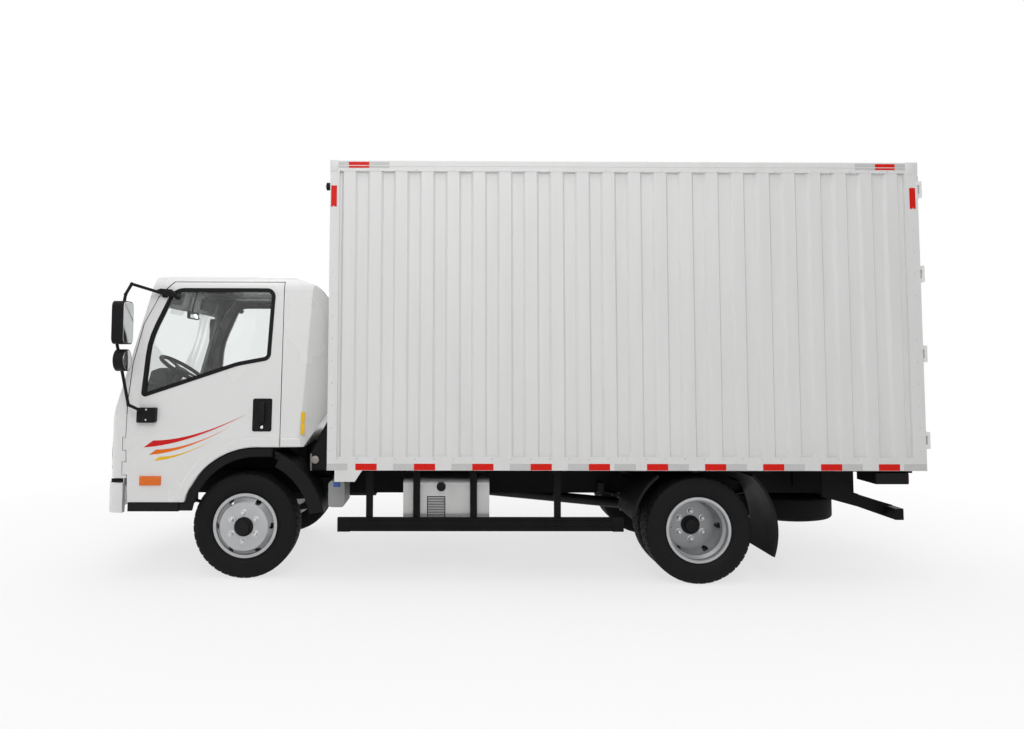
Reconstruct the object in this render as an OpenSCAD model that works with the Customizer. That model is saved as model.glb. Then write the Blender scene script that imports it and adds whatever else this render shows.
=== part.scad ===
// Light cab-over box truck, in millimetres.
// +X is forward, +Y is left, +Z is up, and the origin is on the ground under the middle of the truck.
// Places along the truck are measured from the front axle, forward positive, unless a name says otherwise.

/* [Overall] */
// Distance between the axles
wheelbase = 3308; // [3250:1:3400]
// Front axle to the foremost face of the bumper
front_overhang = 1047; // [1040:1:1080]
// Rear axle to the rearmost face of the door locks
rear_overhang = 1640; // [1630:1:1700]
// Clearance in bearings, hinges and sleeves
run_gap = 0.3; // [0.2:0.05:0.6]
// Seam between fixed panels
seam = 0.3; // [0.2:0.05:1]
// Gap round a moving panel
door_gap = 6; // [5:0.5:8]

/* [Wheels] */
// Radius of a tyre
tyre_r = 383.5; // [375:0.5:388]
// Width of a tyre at its sidewalls
tyre_w = 215; // [205:1:220]
// Width of the flat tread
tread_w = 172; // [150:1:185]
// Radius of the rim seat under the beads
seat_r = 222; // [215:1:226]
// Height of a rim flange over its seat
flange_h = 13; // [10:1:15]
// Width of a rim over its flanges
rim_w = 176; // [160:1:180]
// Thickness of the rim and disc plates
rim_t = 9; // [7:0.5:11]
// Depth of the drop well under the seat
well_d = 20; // [15:1:24]
// Radius of the hole in a disc
hub_hole_r = 70; // [66:1:80]
// Radius of the stud circle
stud_circle_r = 102.5; // [98:0.5:106]
// Radius of a hand hole
hand_hole_r = 21; // [16:1:24]
// Hand holes in a disc
hand_holes = 6; // [4:1:8]
// Side to side distance between the front wheels
front_track = 1606; // [1590:1:1620]
// Side to side distance between the middles of the twin wheels
rear_track = 1668; // [1655:1:1680]
// Distance between the two wheels of a pair
twin_w = 244; // [240:1:250]

/* [Frame] */
// Width over the frame rails
frame_w = 750; // [730:1:760]
// Top of the frame rails above the ground
frame_top = 720; // [715:1:725]
// Height of a rail
rail_h = 180; // [160:1:190]
// Width of a rail flange
rail_w = 60; // [50:1:70]
// Thickness of the rail plate
rail_t = 8; // [6:0.5:12]
// Front end of the rails
rail_front = 886; // [880:1:890]
// Rear end of the rails behind the rear axle
rail_rear = 1480; // [1440:1:1500]
// Width of a leaf spring
spring_w = 64; // [56:1:68]
// Thickness of one leaf
leaf_t = 11; // [9:0.5:13]
// Leaves in a spring
leaves = 5; // [3:1:6]
// Distance between the eyes of a front spring
front_spring_l = 1120; // [1060:1:1160]
// Distance between the eyes of a rear spring
rear_spring_l = 1180; // [1120:1:1240]
// Sag of a spring between its eyes
spring_sag = 62; // [50:1:70]

/* [Steering] */
// Distance between the king pins
kingpin_track = 1344; // [1330:1:1346]
// Radius of a king pin
kingpin_r = 18; // [15:0.5:22]
// Height of the axle eye between the knuckle's lugs
axle_eye_h = 90; // [80:1:100]
// Radius of the axle eye
axle_eye_r = 38; // [34:1:42]
// Radius of the wheel spindle
spindle_r = 30; // [26:1:34]
// Length of a steering arm behind its king pin
steer_arm_l = 170; // [160:1:175]
// Radius of the tie rod
tie_rod_r = 15; // [12:0.5:18]
// Radius of the steering wheel
steering_r = 205; // [190:1:215]
// Radius of the steering wheel's rim
steering_rim_r = 15; // [12:0.5:17]
// Tilt of the steering column from upright
column_tilt = 32; // [28:1:36]

/* [Cab] */
// Half width of the cab at the belt
cab_half_w = 955; // [945:1:960]
// Half width of the cab at the roof edge
roof_half_w = 872; // [860:1:880]
// Height of the belt crease where the sides start to lean in
belt_z = 1040; // [1020:1:1060]
// Height of the roof at its edge
roof_edge_z = 2236; // [2225:1:2245]
// Rise of the roof to its middle
roof_rise = 20; // [10:1:25]
// Foremost face of the cab front
cab_front_x = 1022; // [1018:1:1024]
// Rear face of the upper cab
cab_rear_x = -592; // [-598:1:-580]
// Rear edge of the side panel under the bulge
cab_low_rear_x = -430; // [-440:1:-420]
// Lower edge of the rear panels
cab_low_z = 966; // [962:1:970]
// Height where the rear bulge starts
bulge_z = 1230; // [1200:1:1250]
// Thickness of doors and panels
cab_wall = 50; // [46:1:52]
// Rake of the windscreen from upright
rake = 15; // [14:0.5:16]
// Height of the foot of the windscreen
screen_z = 1290; // [1280:1:1310]
// Rear edge of a cab door
door_rear_x = -257; // [-262:1:-250]
// Foremost edge of a cab door
door_front_x = 865; // [860:1:868]
// Bottom of a cab door
door_low_z = 566; // [560:1:575]
// Top of a cab door
door_top_z = 2190; // [2180:1:2194]
// Middle of the wheel arch behind the front axle
arch_back = 90; // [80:1:100]
// Height of the middle of the wheel arch
arch_z = 420; // [415:1:430]
// Radius of the wheel arch
arch_r = 545; // [540:1:548]
// Width of the black rubber round a door window
rubber_w = 30; // [24:1:36]
// Thickness of the window glass
glass_t = 5; // [4:0.5:6]
// Depth of the glass under the outer skin
glass_in = 16; // [12:1:20]
// Height of the foot floor over the frame
foot_floor_up = 25; // [24:1:32]
// Thickness of the cab floor
floor_t = 36; // [30:1:40]
// Top of the seat platform
platform_z = 1004; // [1000:1:1008]
// Front of the seat platform
platform_front = 420; // [410:1:440]
// Height of the tilt pivot under the frame top
pivot_down = 35; // [33:1:38]
// Front end of the rails to the tilt pivot
pivot_back = 26; // [24:1:30]
// Radius of the tilt tube
pivot_r = 22; // [18:1:24]

/* [Box] */
// Outside width of the box
box_w = 2250; // [2230:1:2260]
// Front face of the box behind the front axle
box_front = 635; // [632:1:645]
// Depth of the lock gear behind the rear frame
lock_depth = 18; // [16:1:24]
// Lower edge of the bottom rails
box_low_z = 820; // [815:1:822]
// Top of the box
box_top_z = 3060; // [3040:1:3080]
// Thickness of a side wall
wall_t = 40; // [36:1:44]
// Depth of the corrugation
rib_depth = 24; // [16:1:26]
// Ribs along a side
side_ribs = 22; // [18:1:24]
// Ribs across the front wall
front_ribs = 11; // [8:1:12]
// Ribs on a rear door
door_ribs = 5; // [4:1:6]
// Height of a bottom rail
low_rail_h = 95; // [85:1:105]
// Height of a top rail
top_rail_h = 39; // [32:1:46]
// Thickness of the roof
roof_t = 40; // [36:1:44]
// Width of the corner posts
post_w = 55; // [50:1:60]
// Length of the rear frame along the truck
rear_frame_l = 85; // [80:1:90]
// Thickness of the load floor
load_floor_t = 40; // [36:1:44]
// Top of the load floor above the bottom of the box
load_floor_up = 80; // [76:1:84]
// Height of the floor bearers
bearer_h = 60; // [50:1:62]
// Floor bearers
bearers = 9; // [7:1:11]
// Thickness of a rear door
rear_door_t = 40; // [36:1:44]
// Recess of the rear doors in their frame
rear_door_in = 25; // [22:1:28]
// Hinge pins out from the side of the box
hinge_out = 15; // [14:0.5:18]
// Radius of a rear hinge pin
hinge_pin_r = 4.5; // [4:0.25:5]
// Radius of a lock bar
lock_bar_r = 13; // [11:0.5:14]

/* [Underbody] */
// Side of the box to the outer face of the side guards
guard_in = 110; // [95:1:125]
// Lower edge of the side guard bar
guard_low_z = 370; // [360:1:380]
// Height of the side guard bar
guard_h = 97; // [85:1:105]
// Thickness of the side guard bar
guard_t = 30; // [25:1:34]
// Front end of the side guard bar
guard_front = -700; // [-720:1:-690]
// Rear axle to the rear end of the side guard bar
guard_rear_gap = 538; // [518:1:558]
// Width of a guard post
guard_post_w = 50; // [40:1:60]
// Front end of the fuel tank
tank_front = -1170; // [-1200:1:-1150]
// Length of the fuel tank
tank_l = 630; // [600:1:660]
// Lower face of the fuel tank
tank_low_z = 448; // [440:1:460]
// Height of the fuel tank
tank_h = 287; // [270:1:295]
// Outer face of the fuel tank from the middle of the truck
tank_out = 960; // [940:1:965]
// Corner radius of the fuel tank
tank_corner_r = 45; // [30:1:60]
// Gap from a rail to the tanks and boxes beside it
rail_clear = 60; // [50:1:80]
// Width of a tank strap
strap_w = 45; // [35:1:55]
// Thickness of a tank strap
strap_t = 5; // [4:0.5:7]
// Outer radius of the front mudguards
front_guard_r = 592; // [588:1:596]
// Thickness of a mudguard
mudguard_t = 20; // [16:1:24]
// Radius of the rear mudguards in front of the wheels
rear_guard_front_r = 500; // [490:1:510]
// Radius of the rear mudguards behind the wheels
rear_guard_back_r = 562; // [550:1:570]
// Side of the box to the outer edge of the rear mudguards
rear_guard_gap = 45; // [35:1:49]
// Inner edge of the rear mudguards from the middle of the truck
rear_guard_in = 590; // [575:1:596]
// Outer edge of the front mudguards from the middle of the truck
front_guard_out = 930; // [920:1:940]
// Inner edge of the front mudguards from the middle of the truck
front_guard_in = 640; // [620:1:660]
// Radius of the spare wheel's middle behind the rear axle
spare_back = 1055; // [1050:1:1080]
// Height of the middle of the spare wheel
spare_z = 400; // [390:1:410]
// Rear face of the underrun bar behind the rear axle
underrun_back = 1509; // [1500:1:1520]
// Lower face of the underrun bar
underrun_z = 451; // [440:1:460]
// Height of the underrun bar
underrun_h = 81; // [75:1:90]
// Thickness of the underrun bar
underrun_t = 60; // [50:1:70]
// Side of the box to the end of the underrun bar
underrun_in = 115; // [95:1:135]
// Radius of the rear axle tube
axle_tube_r = 55; // [50:1:62]
// Radius of the final drive housing
drive_r = 165; // [150:1:175]
// Radius of the propeller shaft
propshaft_r = 42; // [36:1:48]
// Length of the engine block
engine_l = 860; // [820:1:880]
// Width of the engine block
engine_w = 480; // [440:1:520]
// Height of the engine block
engine_h = 450; // [420:1:455]
// Front face of the engine block
engine_front = 360; // [350:1:370]
// Bottom of the engine block
engine_z = 478; // [470:1:482]

/* [Hidden] */
$fn = 64;
// Steps round a large circle
fine = 360;
// Largest turn between two edges of a rounded corner, in degrees
arc_step = 7.5;

// Overrun of every cut past the faces it opens
over = 5;
overall_l = wheelbase + front_overhang + rear_overhang;
front_axle_x = overall_l / 2 - front_overhang;
rear_axle_x = front_axle_x - wheelbase;
axle_z = tyre_r;
// Longer than any piece, for profiles that cut right through
span = overall_l;

// Outline helpers

function unit(v) = v / norm(v);
function turn(u, v) = u[0] * v[1] - u[1] * v[0];
function inset_corner(p, q, s, d) =
  let (u = unit(q - p), v = unit(s - q), h = turn(u, v))
  abs(h) < 0.000001 ? q + d * [-u[1], u[0]] : q + d * (v - u) / h;
// Moves every edge of a counterclockwise outline inwards by d
function inset(points, d) = [
  for (i = [0 : len(points) - 1])
    inset_corner(points[(i + len(points) - 1) % len(points)], points[i], points[(i + 1) % len(points)], d)];
function less(radii, d) = [for (r = radii) r > 0 ? max(r - d, 0) : 0];
// Places shares of a width and a height from a corner
function placed(shares, corner, size) = [
  for (s = shares) [corner[0] + s[0] * size[0], corner[1] + s[1] * size[1]]];

// Points of the arc of radius r that rounds the corner q between p and s, or the corner itself
function corner_arc(p, q, s, r) =
  let (u = unit(q - p), v = unit(s - q), bend = atan2(turn(u, v), u * v), side = sign(bend))
  r <= 0 || abs(bend) < 0.01 ? [q] :
  let (c = inset_corner(p, q, s, r * side), steps = ceil(abs(bend) / arc_step), start = atan2(-u[0], u[1]))
  [for (k = [0 : steps])
    let (a = start + bend * k / steps)
    c + side * r * [cos(a), sin(a)]];
// An outline, counterclockwise, with an arc of its own radius at each corner
module rounded(points, radii) {
  n = len(points);
  polygon([for (i = [0 : n - 1])
    for (a = corner_arc(points[(i + n - 1) % n], points[i], points[(i + 1) % n], radii[i])) a]);
}
module round_rect(size, r) {
  rounded([[0, 0], [size[0], 0], size, [0, size[1]]], [r, r, r, r]);
}
// Box between two opposite corners
module block(low, high) {
  translate(low) cube(high - low);
}
// Turns a drawing of length and height into a sheet that spans y0 to y1
module sheet_y(y0, y1) {
  translate([0, y1, 0]) rotate([90, 0, 0]) linear_extrude(y1 - y0) children();
}
// Turns a drawing of width and height into a bar that spans x0 to x1
module sheet_x(x0, x1) {
  translate([x0, 0, 0]) rotate([90, 0, 90]) linear_extrude(x1 - x0) children();
}
module rod_y(x, z, r, y0, y1) {
  translate([x, y0, z]) rotate([-90, 0, 0]) cylinder(r = r, h = y1 - y0);
}
module rod_x(y, z, r, x0, x1) {
  translate([x0, y, z]) rotate([0, 90, 0]) cylinder(r = r, h = x1 - x0);
}
module rod_z(x, y, r, z0, z1) {
  translate([x, y, z0]) cylinder(r = r, h = z1 - z0);
}
module right() {
  mirror([0, 1, 0]) children();
}
module both_sides() {
  children();
  right() children();
}
module at_front() {
  translate([front_axle_x, 0, 0]) children();
}
module at_rear() {
  translate([rear_axle_x, 0, 0]) children();
}
// A ring sector round a centre, from angle a0 to a1 above straight ahead
module ring_sector(r, t, a0, a1) {
  reach = r / cos((a1 - a0) / 2);
  middle = (a0 + a1) / 2;
  intersection() {
    difference() {
      circle(r = r, $fn = fine);
      circle(r = r - t, $fn = fine);
    }
    polygon([[0, 0], reach * [cos(a0), sin(a0)], reach / cos((a1 - a0) / 4) * [cos(middle), sin(middle)],
      reach * [cos(a1), sin(a1)]]);
  }
}

// Wheels, drawn round Z with the outer side of the truck up

flange_r = seat_r + flange_h;
well_r = seat_r - well_d;
rim_half = rim_w / 2;
disc_out = twin_w / 2;
well_half_share = 0.3;
// Half lengths of the drop well and its slopes along the rim
well_half = rim_half * well_half_share;
seat_half_share = 0.5;
seat_half = rim_half * seat_half_share;
hub_flange_t = 14;
disc_flat_r = stud_circle_r + hub_flange_t * 2;
disc_edge_z = rim_half - rim_t * 2;
disc_shoulder_share = 0.79;
disc_shoulder_r = seat_r * disc_shoulder_share;
hand_hole_at_r = (disc_shoulder_r + seat_r) / 2;
hub_r = hub_hole_r - rim_t / 2;
hub_cap_share = 0.68;
hub_cap_r = hub_r * hub_cap_share;
hub_cap_h = 38;
drum_clear_share = 4;
drum_r = well_r - rim_t * drum_clear_share;
drum_front_in = 0;
drum_rear_in = disc_out;
rear_spindle_share = 1.3;
rear_spindle_r = spindle_r * rear_spindle_share;

module rim() {
  rotate_extrude() {
    polygon([[flange_r, -rim_half], [flange_r, rim_t - rim_half], [seat_r, rim_t - rim_half],
      [seat_r, -seat_half], [well_r, -well_half], [well_r, well_half], [seat_r, seat_half],
      [seat_r, rim_half - rim_t], [flange_r, rim_half - rim_t], [flange_r, rim_half],
      [seat_r - rim_t, rim_half], [seat_r - rim_t, seat_half], [well_r - rim_t, well_half],
      [well_r - rim_t, -well_half], [seat_r - rim_t, -seat_half], [seat_r - rim_t, -rim_half]]);
  }
  difference() {
    rotate_extrude() {
      polygon([[hub_hole_r, disc_out - rim_t], [disc_shoulder_r, disc_out - rim_t],
        [seat_r - rim_t / 2, disc_edge_z - rim_t], [seat_r - rim_t / 2, disc_edge_z],
        [disc_shoulder_r, disc_out], [hub_hole_r, disc_out]]);
    }
    for (i = [0 : hand_holes - 1])
      rotate([0, 0, i * 360 / hand_holes])
        translate([hand_hole_at_r, 0, 0]) cylinder(r = hand_hole_r, h = disc_out + over);
  }
}
// Hub, flange and brake drum between z0 and the face of the disc at z1
module hub(z0, z1, bore_r) {
  difference() {
    union() {
      rod_z(0, 0, drum_r, z0, z1 - hub_flange_t);
      rod_z(0, 0, disc_flat_r, z1 - hub_flange_t - over, z1);
      rod_z(0, 0, hub_r, z1 - hub_flange_t, z1 + rim_t * 2);
      rod_z(0, 0, hub_cap_r, z1, z1 + rim_t * 2 + hub_cap_h);
    }
    rod_z(0, 0, bore_r, z0 - over, z1);
  }
}
// Height of a tyre's widest point as a share of its sidewall
tyre_side_share = 0.42;
tyre_turn_shares = [0, 0, 0.25, 0.11, 0.11, 0.25, 0, 0];
module tyre() {
  bead_half = rim_half - rim_t - run_gap;
  side_r = flange_r + (tyre_r - flange_r) * tyre_side_share;
  lip_r = flange_r + rim_t / 2;
  rotate_extrude()
    rounded([[seat_r + run_gap, -bead_half], [lip_r, -bead_half], [side_r, -tyre_w / 2],
      [tyre_r, -tread_w / 2], [tyre_r, tread_w / 2], [side_r, tyre_w / 2], [lip_r, bead_half],
      [seat_r + run_gap, bead_half]],
      [for (share = tyre_turn_shares) tyre_w * share]);
}
module twin() {
  translate([0, 0, twin_w / 2]) mirror([0, 0, 1]) children();
  translate([0, 0, -twin_w / 2]) children();
}
// Stands a wheel up on the left, at half the track
module on_left(track) {
  translate([0, track / 2, axle_z]) rotate([-90, 0, 0]) children();
}
module wheel_front() {
  color("silver") {
    rim();
    hub(drum_front_in, disc_out - rim_t, spindle_r + run_gap);
  }
}
module wheel_rear() {
  color("silver") {
    twin() rim();
    hub(-drum_rear_in, -rim_t, rear_spindle_r + run_gap);
  }
}
module wheel_front_left() at_front() on_left(front_track) wheel_front();
module wheel_front_right() at_front() right() on_left(front_track) wheel_front();
module wheel_rear_left() at_rear() on_left(rear_track) wheel_rear();
module wheel_rear_right() at_rear() right() on_left(rear_track) wheel_rear();
module tyre_front_left() at_front() on_left(front_track) color("dimgray") tyre();
module tyre_front_right() at_front() right() on_left(front_track) color("dimgray") tyre();
module tyre_rear_left() at_rear() on_left(rear_track) color("dimgray") twin() tyre();
module tyre_rear_right() at_rear() right() on_left(rear_track) color("dimgray") twin() tyre();

// Front axle and steering

kingpin_y = kingpin_track / 2;
eye_low_z = axle_z - axle_eye_h / 2;
eye_high_z = axle_z + axle_eye_h / 2;
lug_t_share = 1.4;
lug_t = kingpin_r * lug_t_share;
web_t_share = 1.7;
web_t = kingpin_r * web_t_share;
web_clear = 5;
web_in_y = kingpin_y + axle_eye_r + web_clear;
arm_low_z = eye_low_z - run_gap - lug_t;
ball_share = 1.3;
ball_r = tie_rod_r * ball_share;
stud_share = 0.65;
stud_r = tie_rod_r * stud_share;
tie_rod_z = arm_low_z - run_gap - ball_r;
beam_down = 20;
beam_top_z = axle_z - beam_down;
beam_h = 78;
beam_w = 74;
beam_web_t = 22;
beam_flange_t = 16;
beam_drop = 30;

beam_pocket_share = 5;
eye_block_shares = [0.7, 2.2];
module front_axle() {
  color("#2a2a2c") at_front() {
    difference() {
      sheet_x(-beam_w / 2, beam_w / 2)
        polygon([[-kingpin_y, eye_low_z], [-kingpin_y + beam_h * 2, beam_top_z - beam_h],
          [kingpin_y - beam_h * 2, beam_top_z - beam_h], [kingpin_y, eye_low_z],
          [kingpin_y, eye_high_z - beam_drop], [kingpin_y - beam_h * 2, beam_top_z],
          [-kingpin_y + beam_h * 2, beam_top_z], [-kingpin_y, eye_high_z - beam_drop]]);
      for (s = [-1, 1])
        translate([s * (beam_w + beam_web_t) / 2, 0, beam_top_z - beam_h / 2])
          cube([beam_w, kingpin_track - beam_h * beam_pocket_share, beam_h - beam_flange_t * 2],
            center = true);
      for (s = [-1, 1])
        rod_z(0, s * kingpin_y, axle_eye_r * 2, 0, axle_z * 2);
    }
    difference() {
      both_sides() {
        rod_z(0, kingpin_y, axle_eye_r, eye_low_z, eye_high_z);
        block([-axle_eye_r * eye_block_shares[0], kingpin_y - axle_eye_r * eye_block_shares[1],
          eye_low_z + beam_flange_t / 2],
          [axle_eye_r * eye_block_shares[0], kingpin_y, eye_high_z - beam_drop - beam_flange_t / 2]);
      }
      both_sides() rod_z(0, kingpin_y, kingpin_r + run_gap, 0, axle_z * 2);
    }
  }
}
spindle_root_share = 1.5;
module knuckle() {
  spindle_end_y = front_track / 2 + disc_out - rim_t - hub_flange_t;
  color("#3a3a3d") at_front() {
    difference() {
      union() {
        for (z = [arm_low_z, eye_high_z + run_gap]) {
          rod_z(0, kingpin_y, axle_eye_r, z, z + lug_t);
          block([-axle_eye_r, kingpin_y, z], [axle_eye_r, web_in_y + web_t, z + lug_t]);
        }
        block([-axle_eye_r, web_in_y, arm_low_z],
          [axle_eye_r, web_in_y + web_t, eye_high_z + run_gap + lug_t]);
        translate([0, 0, arm_low_z]) linear_extrude(lug_t)
          polygon([[0, kingpin_y - ball_r], [0, kingpin_y + ball_r],
            [-steer_arm_l, kingpin_y + ball_r], [-steer_arm_l, kingpin_y - ball_r]]);
        rod_z(-steer_arm_l, kingpin_y, ball_r, arm_low_z, arm_low_z + lug_t);
      }
      rod_z(-steer_arm_l, kingpin_y, stud_r + run_gap, 0, axle_z);
    }
    rod_z(0, kingpin_y, kingpin_r, arm_low_z, eye_high_z + run_gap + lug_t);
    rod_y(0, axle_z, spindle_r, web_in_y, spindle_end_y);
    rod_y(0, axle_z, spindle_r * spindle_root_share, web_in_y, front_track / 2 + drum_front_in - web_clear);
  }
}
module knuckle_left() knuckle();
module knuckle_right() right() knuckle();
module tie_rod() {
  color("#3a3a3d") at_front() {
    rod_y(-steer_arm_l, tie_rod_z, tie_rod_r, -kingpin_y, kingpin_y);
    both_sides() {
      rod_z(-steer_arm_l, kingpin_y, ball_r, tie_rod_z - ball_r, tie_rod_z + ball_r);
      rod_z(-steer_arm_l, kingpin_y, stud_r, tie_rod_z, arm_low_z + lug_t);
    }
  }
}

// Frame, springs and rear axle

rail_low_z = frame_top - rail_h;
rail_out_y = frame_w / 2;
rail_mid_y = rail_out_y - rail_w / 2;
rail_rear_x = -wheelbase - rail_rear;
rail_l = rail_front - rail_rear_x;
pivot_x = rail_front - pivot_back;
pivot_z = frame_top - pivot_down;
lug_in_y = rail_out_y + door_gap * 2;
lug_w = rail_w;
cross_share = 0.2;
cross_r = rail_h * cross_share;
cross_z = frame_top - rail_t - cross_r - seam;
// Places of the cross tubes from the rear end of the rails, with one over the spare wheel
cross_shares = [0.21, 0.42, 0.53, 0.64];
cross_xs = concat([-wheelbase - spare_back], [for (s = cross_shares) rail_rear_x + s * rail_l]);
tow_bore_r = 20;
tow_plate_t = 14;
cab_rest_x = cab_low_rear_x + cab_wall + rail_w;
platform_low_z = platform_z - floor_t;

module rail_section() {
  difference() {
    translate([rail_out_y - rail_w, rail_low_z]) square([rail_w, rail_h]);
    translate([rail_out_y - rail_w - over, rail_low_z + rail_t])
      square([rail_w + over - rail_t, rail_h - rail_t * 2]);
  }
}
module chassis_frame() {
  color("#1d1d1f") at_front() {
    both_sides() {
      sheet_x(rail_rear_x + tow_plate_t + seam, rail_front) rail_section();
      // End of the tilt pivot, outside its rail
      rod_y(pivot_x, pivot_z, pivot_r, rail_out_y - rail_w, lug_in_y + lug_w + over);
      // Post that carries the rear of the cab
      block([cab_rest_x - rail_w / 2, rail_out_y - rail_w, frame_top + seam],
        [cab_rest_x + rail_w / 2, rail_out_y, platform_low_z - seam]);
    }
    // Cross tubes reach the webs of the rails, and the pivot's middle bar their flanges
    for (x = cross_xs)
      rod_y(x, cross_z, cross_r, rail_t + seam - rail_out_y, rail_out_y - rail_t - seam);
    rod_y(pivot_x, pivot_z, pivot_r, rail_w + seam - rail_out_y, rail_out_y - rail_w - seam);
    difference() {
      block([rail_rear_x, -rail_out_y, rail_low_z], [rail_rear_x + tow_plate_t, rail_out_y, frame_top]);
      rod_x(0, rail_low_z + rail_h / 2, tow_bore_r, rail_rear_x - over, rail_rear_x + tow_plate_t + over);
    }
  }
}
spring_lap = 0.5;
function spring_bend_r(l) = l * l / (8 * spring_sag) + spring_sag / 2;
spring_eye_r = leaf_t * 2;
// Each leaf is shorter than the one above it by this share of the spring
leaf_step_share = 0.16;

// Spring of length l, its lowest leaf touching the origin, hung from height hang_z
module leaf_spring(l, hang_z) {
  bend_r = spring_bend_r(l);
  pack_t = leaves * leaf_t;
  eye_z = spring_sag + pack_t - leaf_t / 2;
  sheet_y(-spring_w / 2, spring_w / 2) {
    for (i = [0 : leaves - 1])
      intersection() {
        translate([0, bend_r + pack_t]) difference() {
          circle(r = bend_r + (i + 1) * leaf_t, $fn = fine);
          circle(r = bend_r + i * leaf_t - (i > 0 ? spring_lap : 0), $fn = fine);
        }
        translate([-l / 2 * (1 - i * leaf_step_share), -over])
          square([l * (1 - i * leaf_step_share), spring_sag + pack_t + over]);
      }
    for (s = [-1, 1])
      translate([s * l / 2, eye_z]) {
        circle(r = spring_eye_r);
        translate([-spring_eye_r, 0]) square([spring_eye_r * 2, hang_z - eye_z]);
      }
  }
  // Clamp over the axle
  block([-spring_w, -spring_w / 2 - leaf_t, 0], [spring_w, spring_w / 2 + leaf_t, pack_t + leaf_t]);
}
rear_spring_y = rail_out_y + spring_w / 2 + leaf_t + seam;
rear_pad_z = axle_z + axle_tube_r + leaf_t;
module leaf_springs() {
  color("#262628") both_sides() {
    at_front() translate([0, rail_mid_y, beam_top_z + seam])
      leaf_spring(front_spring_l, rail_low_z - beam_top_z - seam * 2);
    at_rear() translate([0, rear_spring_y, rear_pad_z + seam])
      leaf_spring(rear_spring_l, rail_low_z + rail_h / 2 - rear_pad_z);
  }
}
pinion_share = 1.5;
module rear_axle() {
  spindle_y = rear_track / 2 - drum_rear_in - web_clear;
  color("#232325") at_rear() {
    rod_y(0, axle_z, axle_tube_r, -spindle_y, spindle_y);
    rod_y(0, axle_z, rear_spindle_r, -rear_track / 2 + hub_flange_t * 2, rear_track / 2 - hub_flange_t * 2);
    translate([0, 0, axle_z]) sphere(r = drive_r);
    rod_x(0, axle_z, drive_r / 2, 0, drive_r * pinion_share);
    both_sides()
      block([-spring_w, rear_spring_y - spring_w / 2 - leaf_t, axle_z],
        [spring_w, rear_spring_y + spring_w / 2 + leaf_t, rear_pad_z]);
  }
}

// Power train

gearbox_share = 0.45;
gearbox_l = engine_l * gearbox_share;
gearbox_w_share = 0.6;
gearbox_w = engine_w * gearbox_w_share;
gearbox_h_share = 0.5;
gearbox_h = engine_h * gearbox_h_share;
engine_foot = 40;
shaft_front_x = engine_front - engine_l - gearbox_l;
shaft_front_z = engine_z + gearbox_h / 2;
shaft_rear_x = -wheelbase + drive_r * pinion_share;
shaft_yoke_share = 1.5;
shaft_yoke_r = propshaft_r * shaft_yoke_share;
shaft_yoke_l = propshaft_r * 2;

engine_foot_share = 0.3;
module engine_block() {
  color("#3b3c3f") at_front() {
    block([engine_front - engine_l, -engine_w / 2, engine_z],
      [engine_front, engine_w / 2, engine_z + engine_h]);
    block([shaft_front_x, -gearbox_w / 2, engine_z],
      [engine_front - engine_l, gearbox_w / 2, engine_z + gearbox_h]);
    // Mounting feet that lie on the lower flanges of the rails
    for (x = [engine_front - engine_l * engine_foot_share, shaft_front_x + gearbox_l / 2])
      block([x - engine_foot, rail_t + seam - rail_out_y, rail_low_z + rail_t + seam],
        [x + engine_foot, rail_out_y - rail_t - seam, rail_low_z + rail_t + engine_foot]);
  }
}
module propshaft() {
  drop = shaft_front_z - axle_z;
  // The edges of the tilted yokes stay clear of the flanges
  end_clear = seam + shaft_yoke_r * drop / (shaft_front_x - shaft_rear_x);
  run = shaft_front_x - shaft_rear_x - end_clear * 2;
  shaft_l = norm([run, drop]);
  color("#303033") at_front()
    translate([shaft_rear_x + end_clear, 0, axle_z]) rotate([0, 90 - atan2(drop, run), 0]) {
      cylinder(r = propshaft_r, h = shaft_l);
      for (z = [0, shaft_l - shaft_yoke_l])
        translate([0, 0, z]) cylinder(r = shaft_yoke_r, h = shaft_yoke_l);
    }
}

// Tanks and boxes beside the frame

beside_y = rail_out_y + rail_clear;
hanger_shares = [0.2, 0.8];
filler_r = 34;
filler_h = 34;
urea_front = -front_guard_r - mudguard_t;
urea_l = 120;
urea_h = 190;
urea_low_z = 520;
urea_out = 900;
urea_cap_r = 26;
box_low_front = -1050;
battery_l = 430;
battery_h = 260;
battery_out = 800;
canister_r = 130;
canister_l = 520;
canister_front = -1650;
pipe_r = 30;

hanger_down_share = 0.33;
// Arms from the rail's web out to y, at shares of a length behind x
module hangers(x, l, y, z) {
  for (s = hanger_shares)
    block([x - s * l - strap_w / 2, rail_out_y + seam, z - strap_w], [x - s * l + strap_w / 2, y, z]);
}
module fuel_tank() {
  filler_shares = [0.44, 0.82];
filler_x = tank_front - tank_l * filler_shares[0];
  color("#8d8f91") at_front() {
    sheet_x(tank_front - tank_l, tank_front)
      translate([beside_y, tank_low_z]) round_rect([tank_out - beside_y, tank_h], tank_corner_r);
    for (s = hanger_shares)
      sheet_x(tank_front - s * tank_l - strap_w / 2, tank_front - s * tank_l + strap_w / 2)
        translate([beside_y - strap_t, tank_low_z - strap_t])
          round_rect([tank_out - beside_y + strap_t * 2, tank_h + strap_t * 2],
            tank_corner_r + strap_t);
    rod_y(filler_x, tank_low_z + tank_h * filler_shares[1], filler_r, tank_out - filler_h,
      tank_out + filler_h / 2);
    hangers(tank_front, tank_l, beside_y, frame_top - rail_h * hanger_down_share);
  }
}
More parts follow.
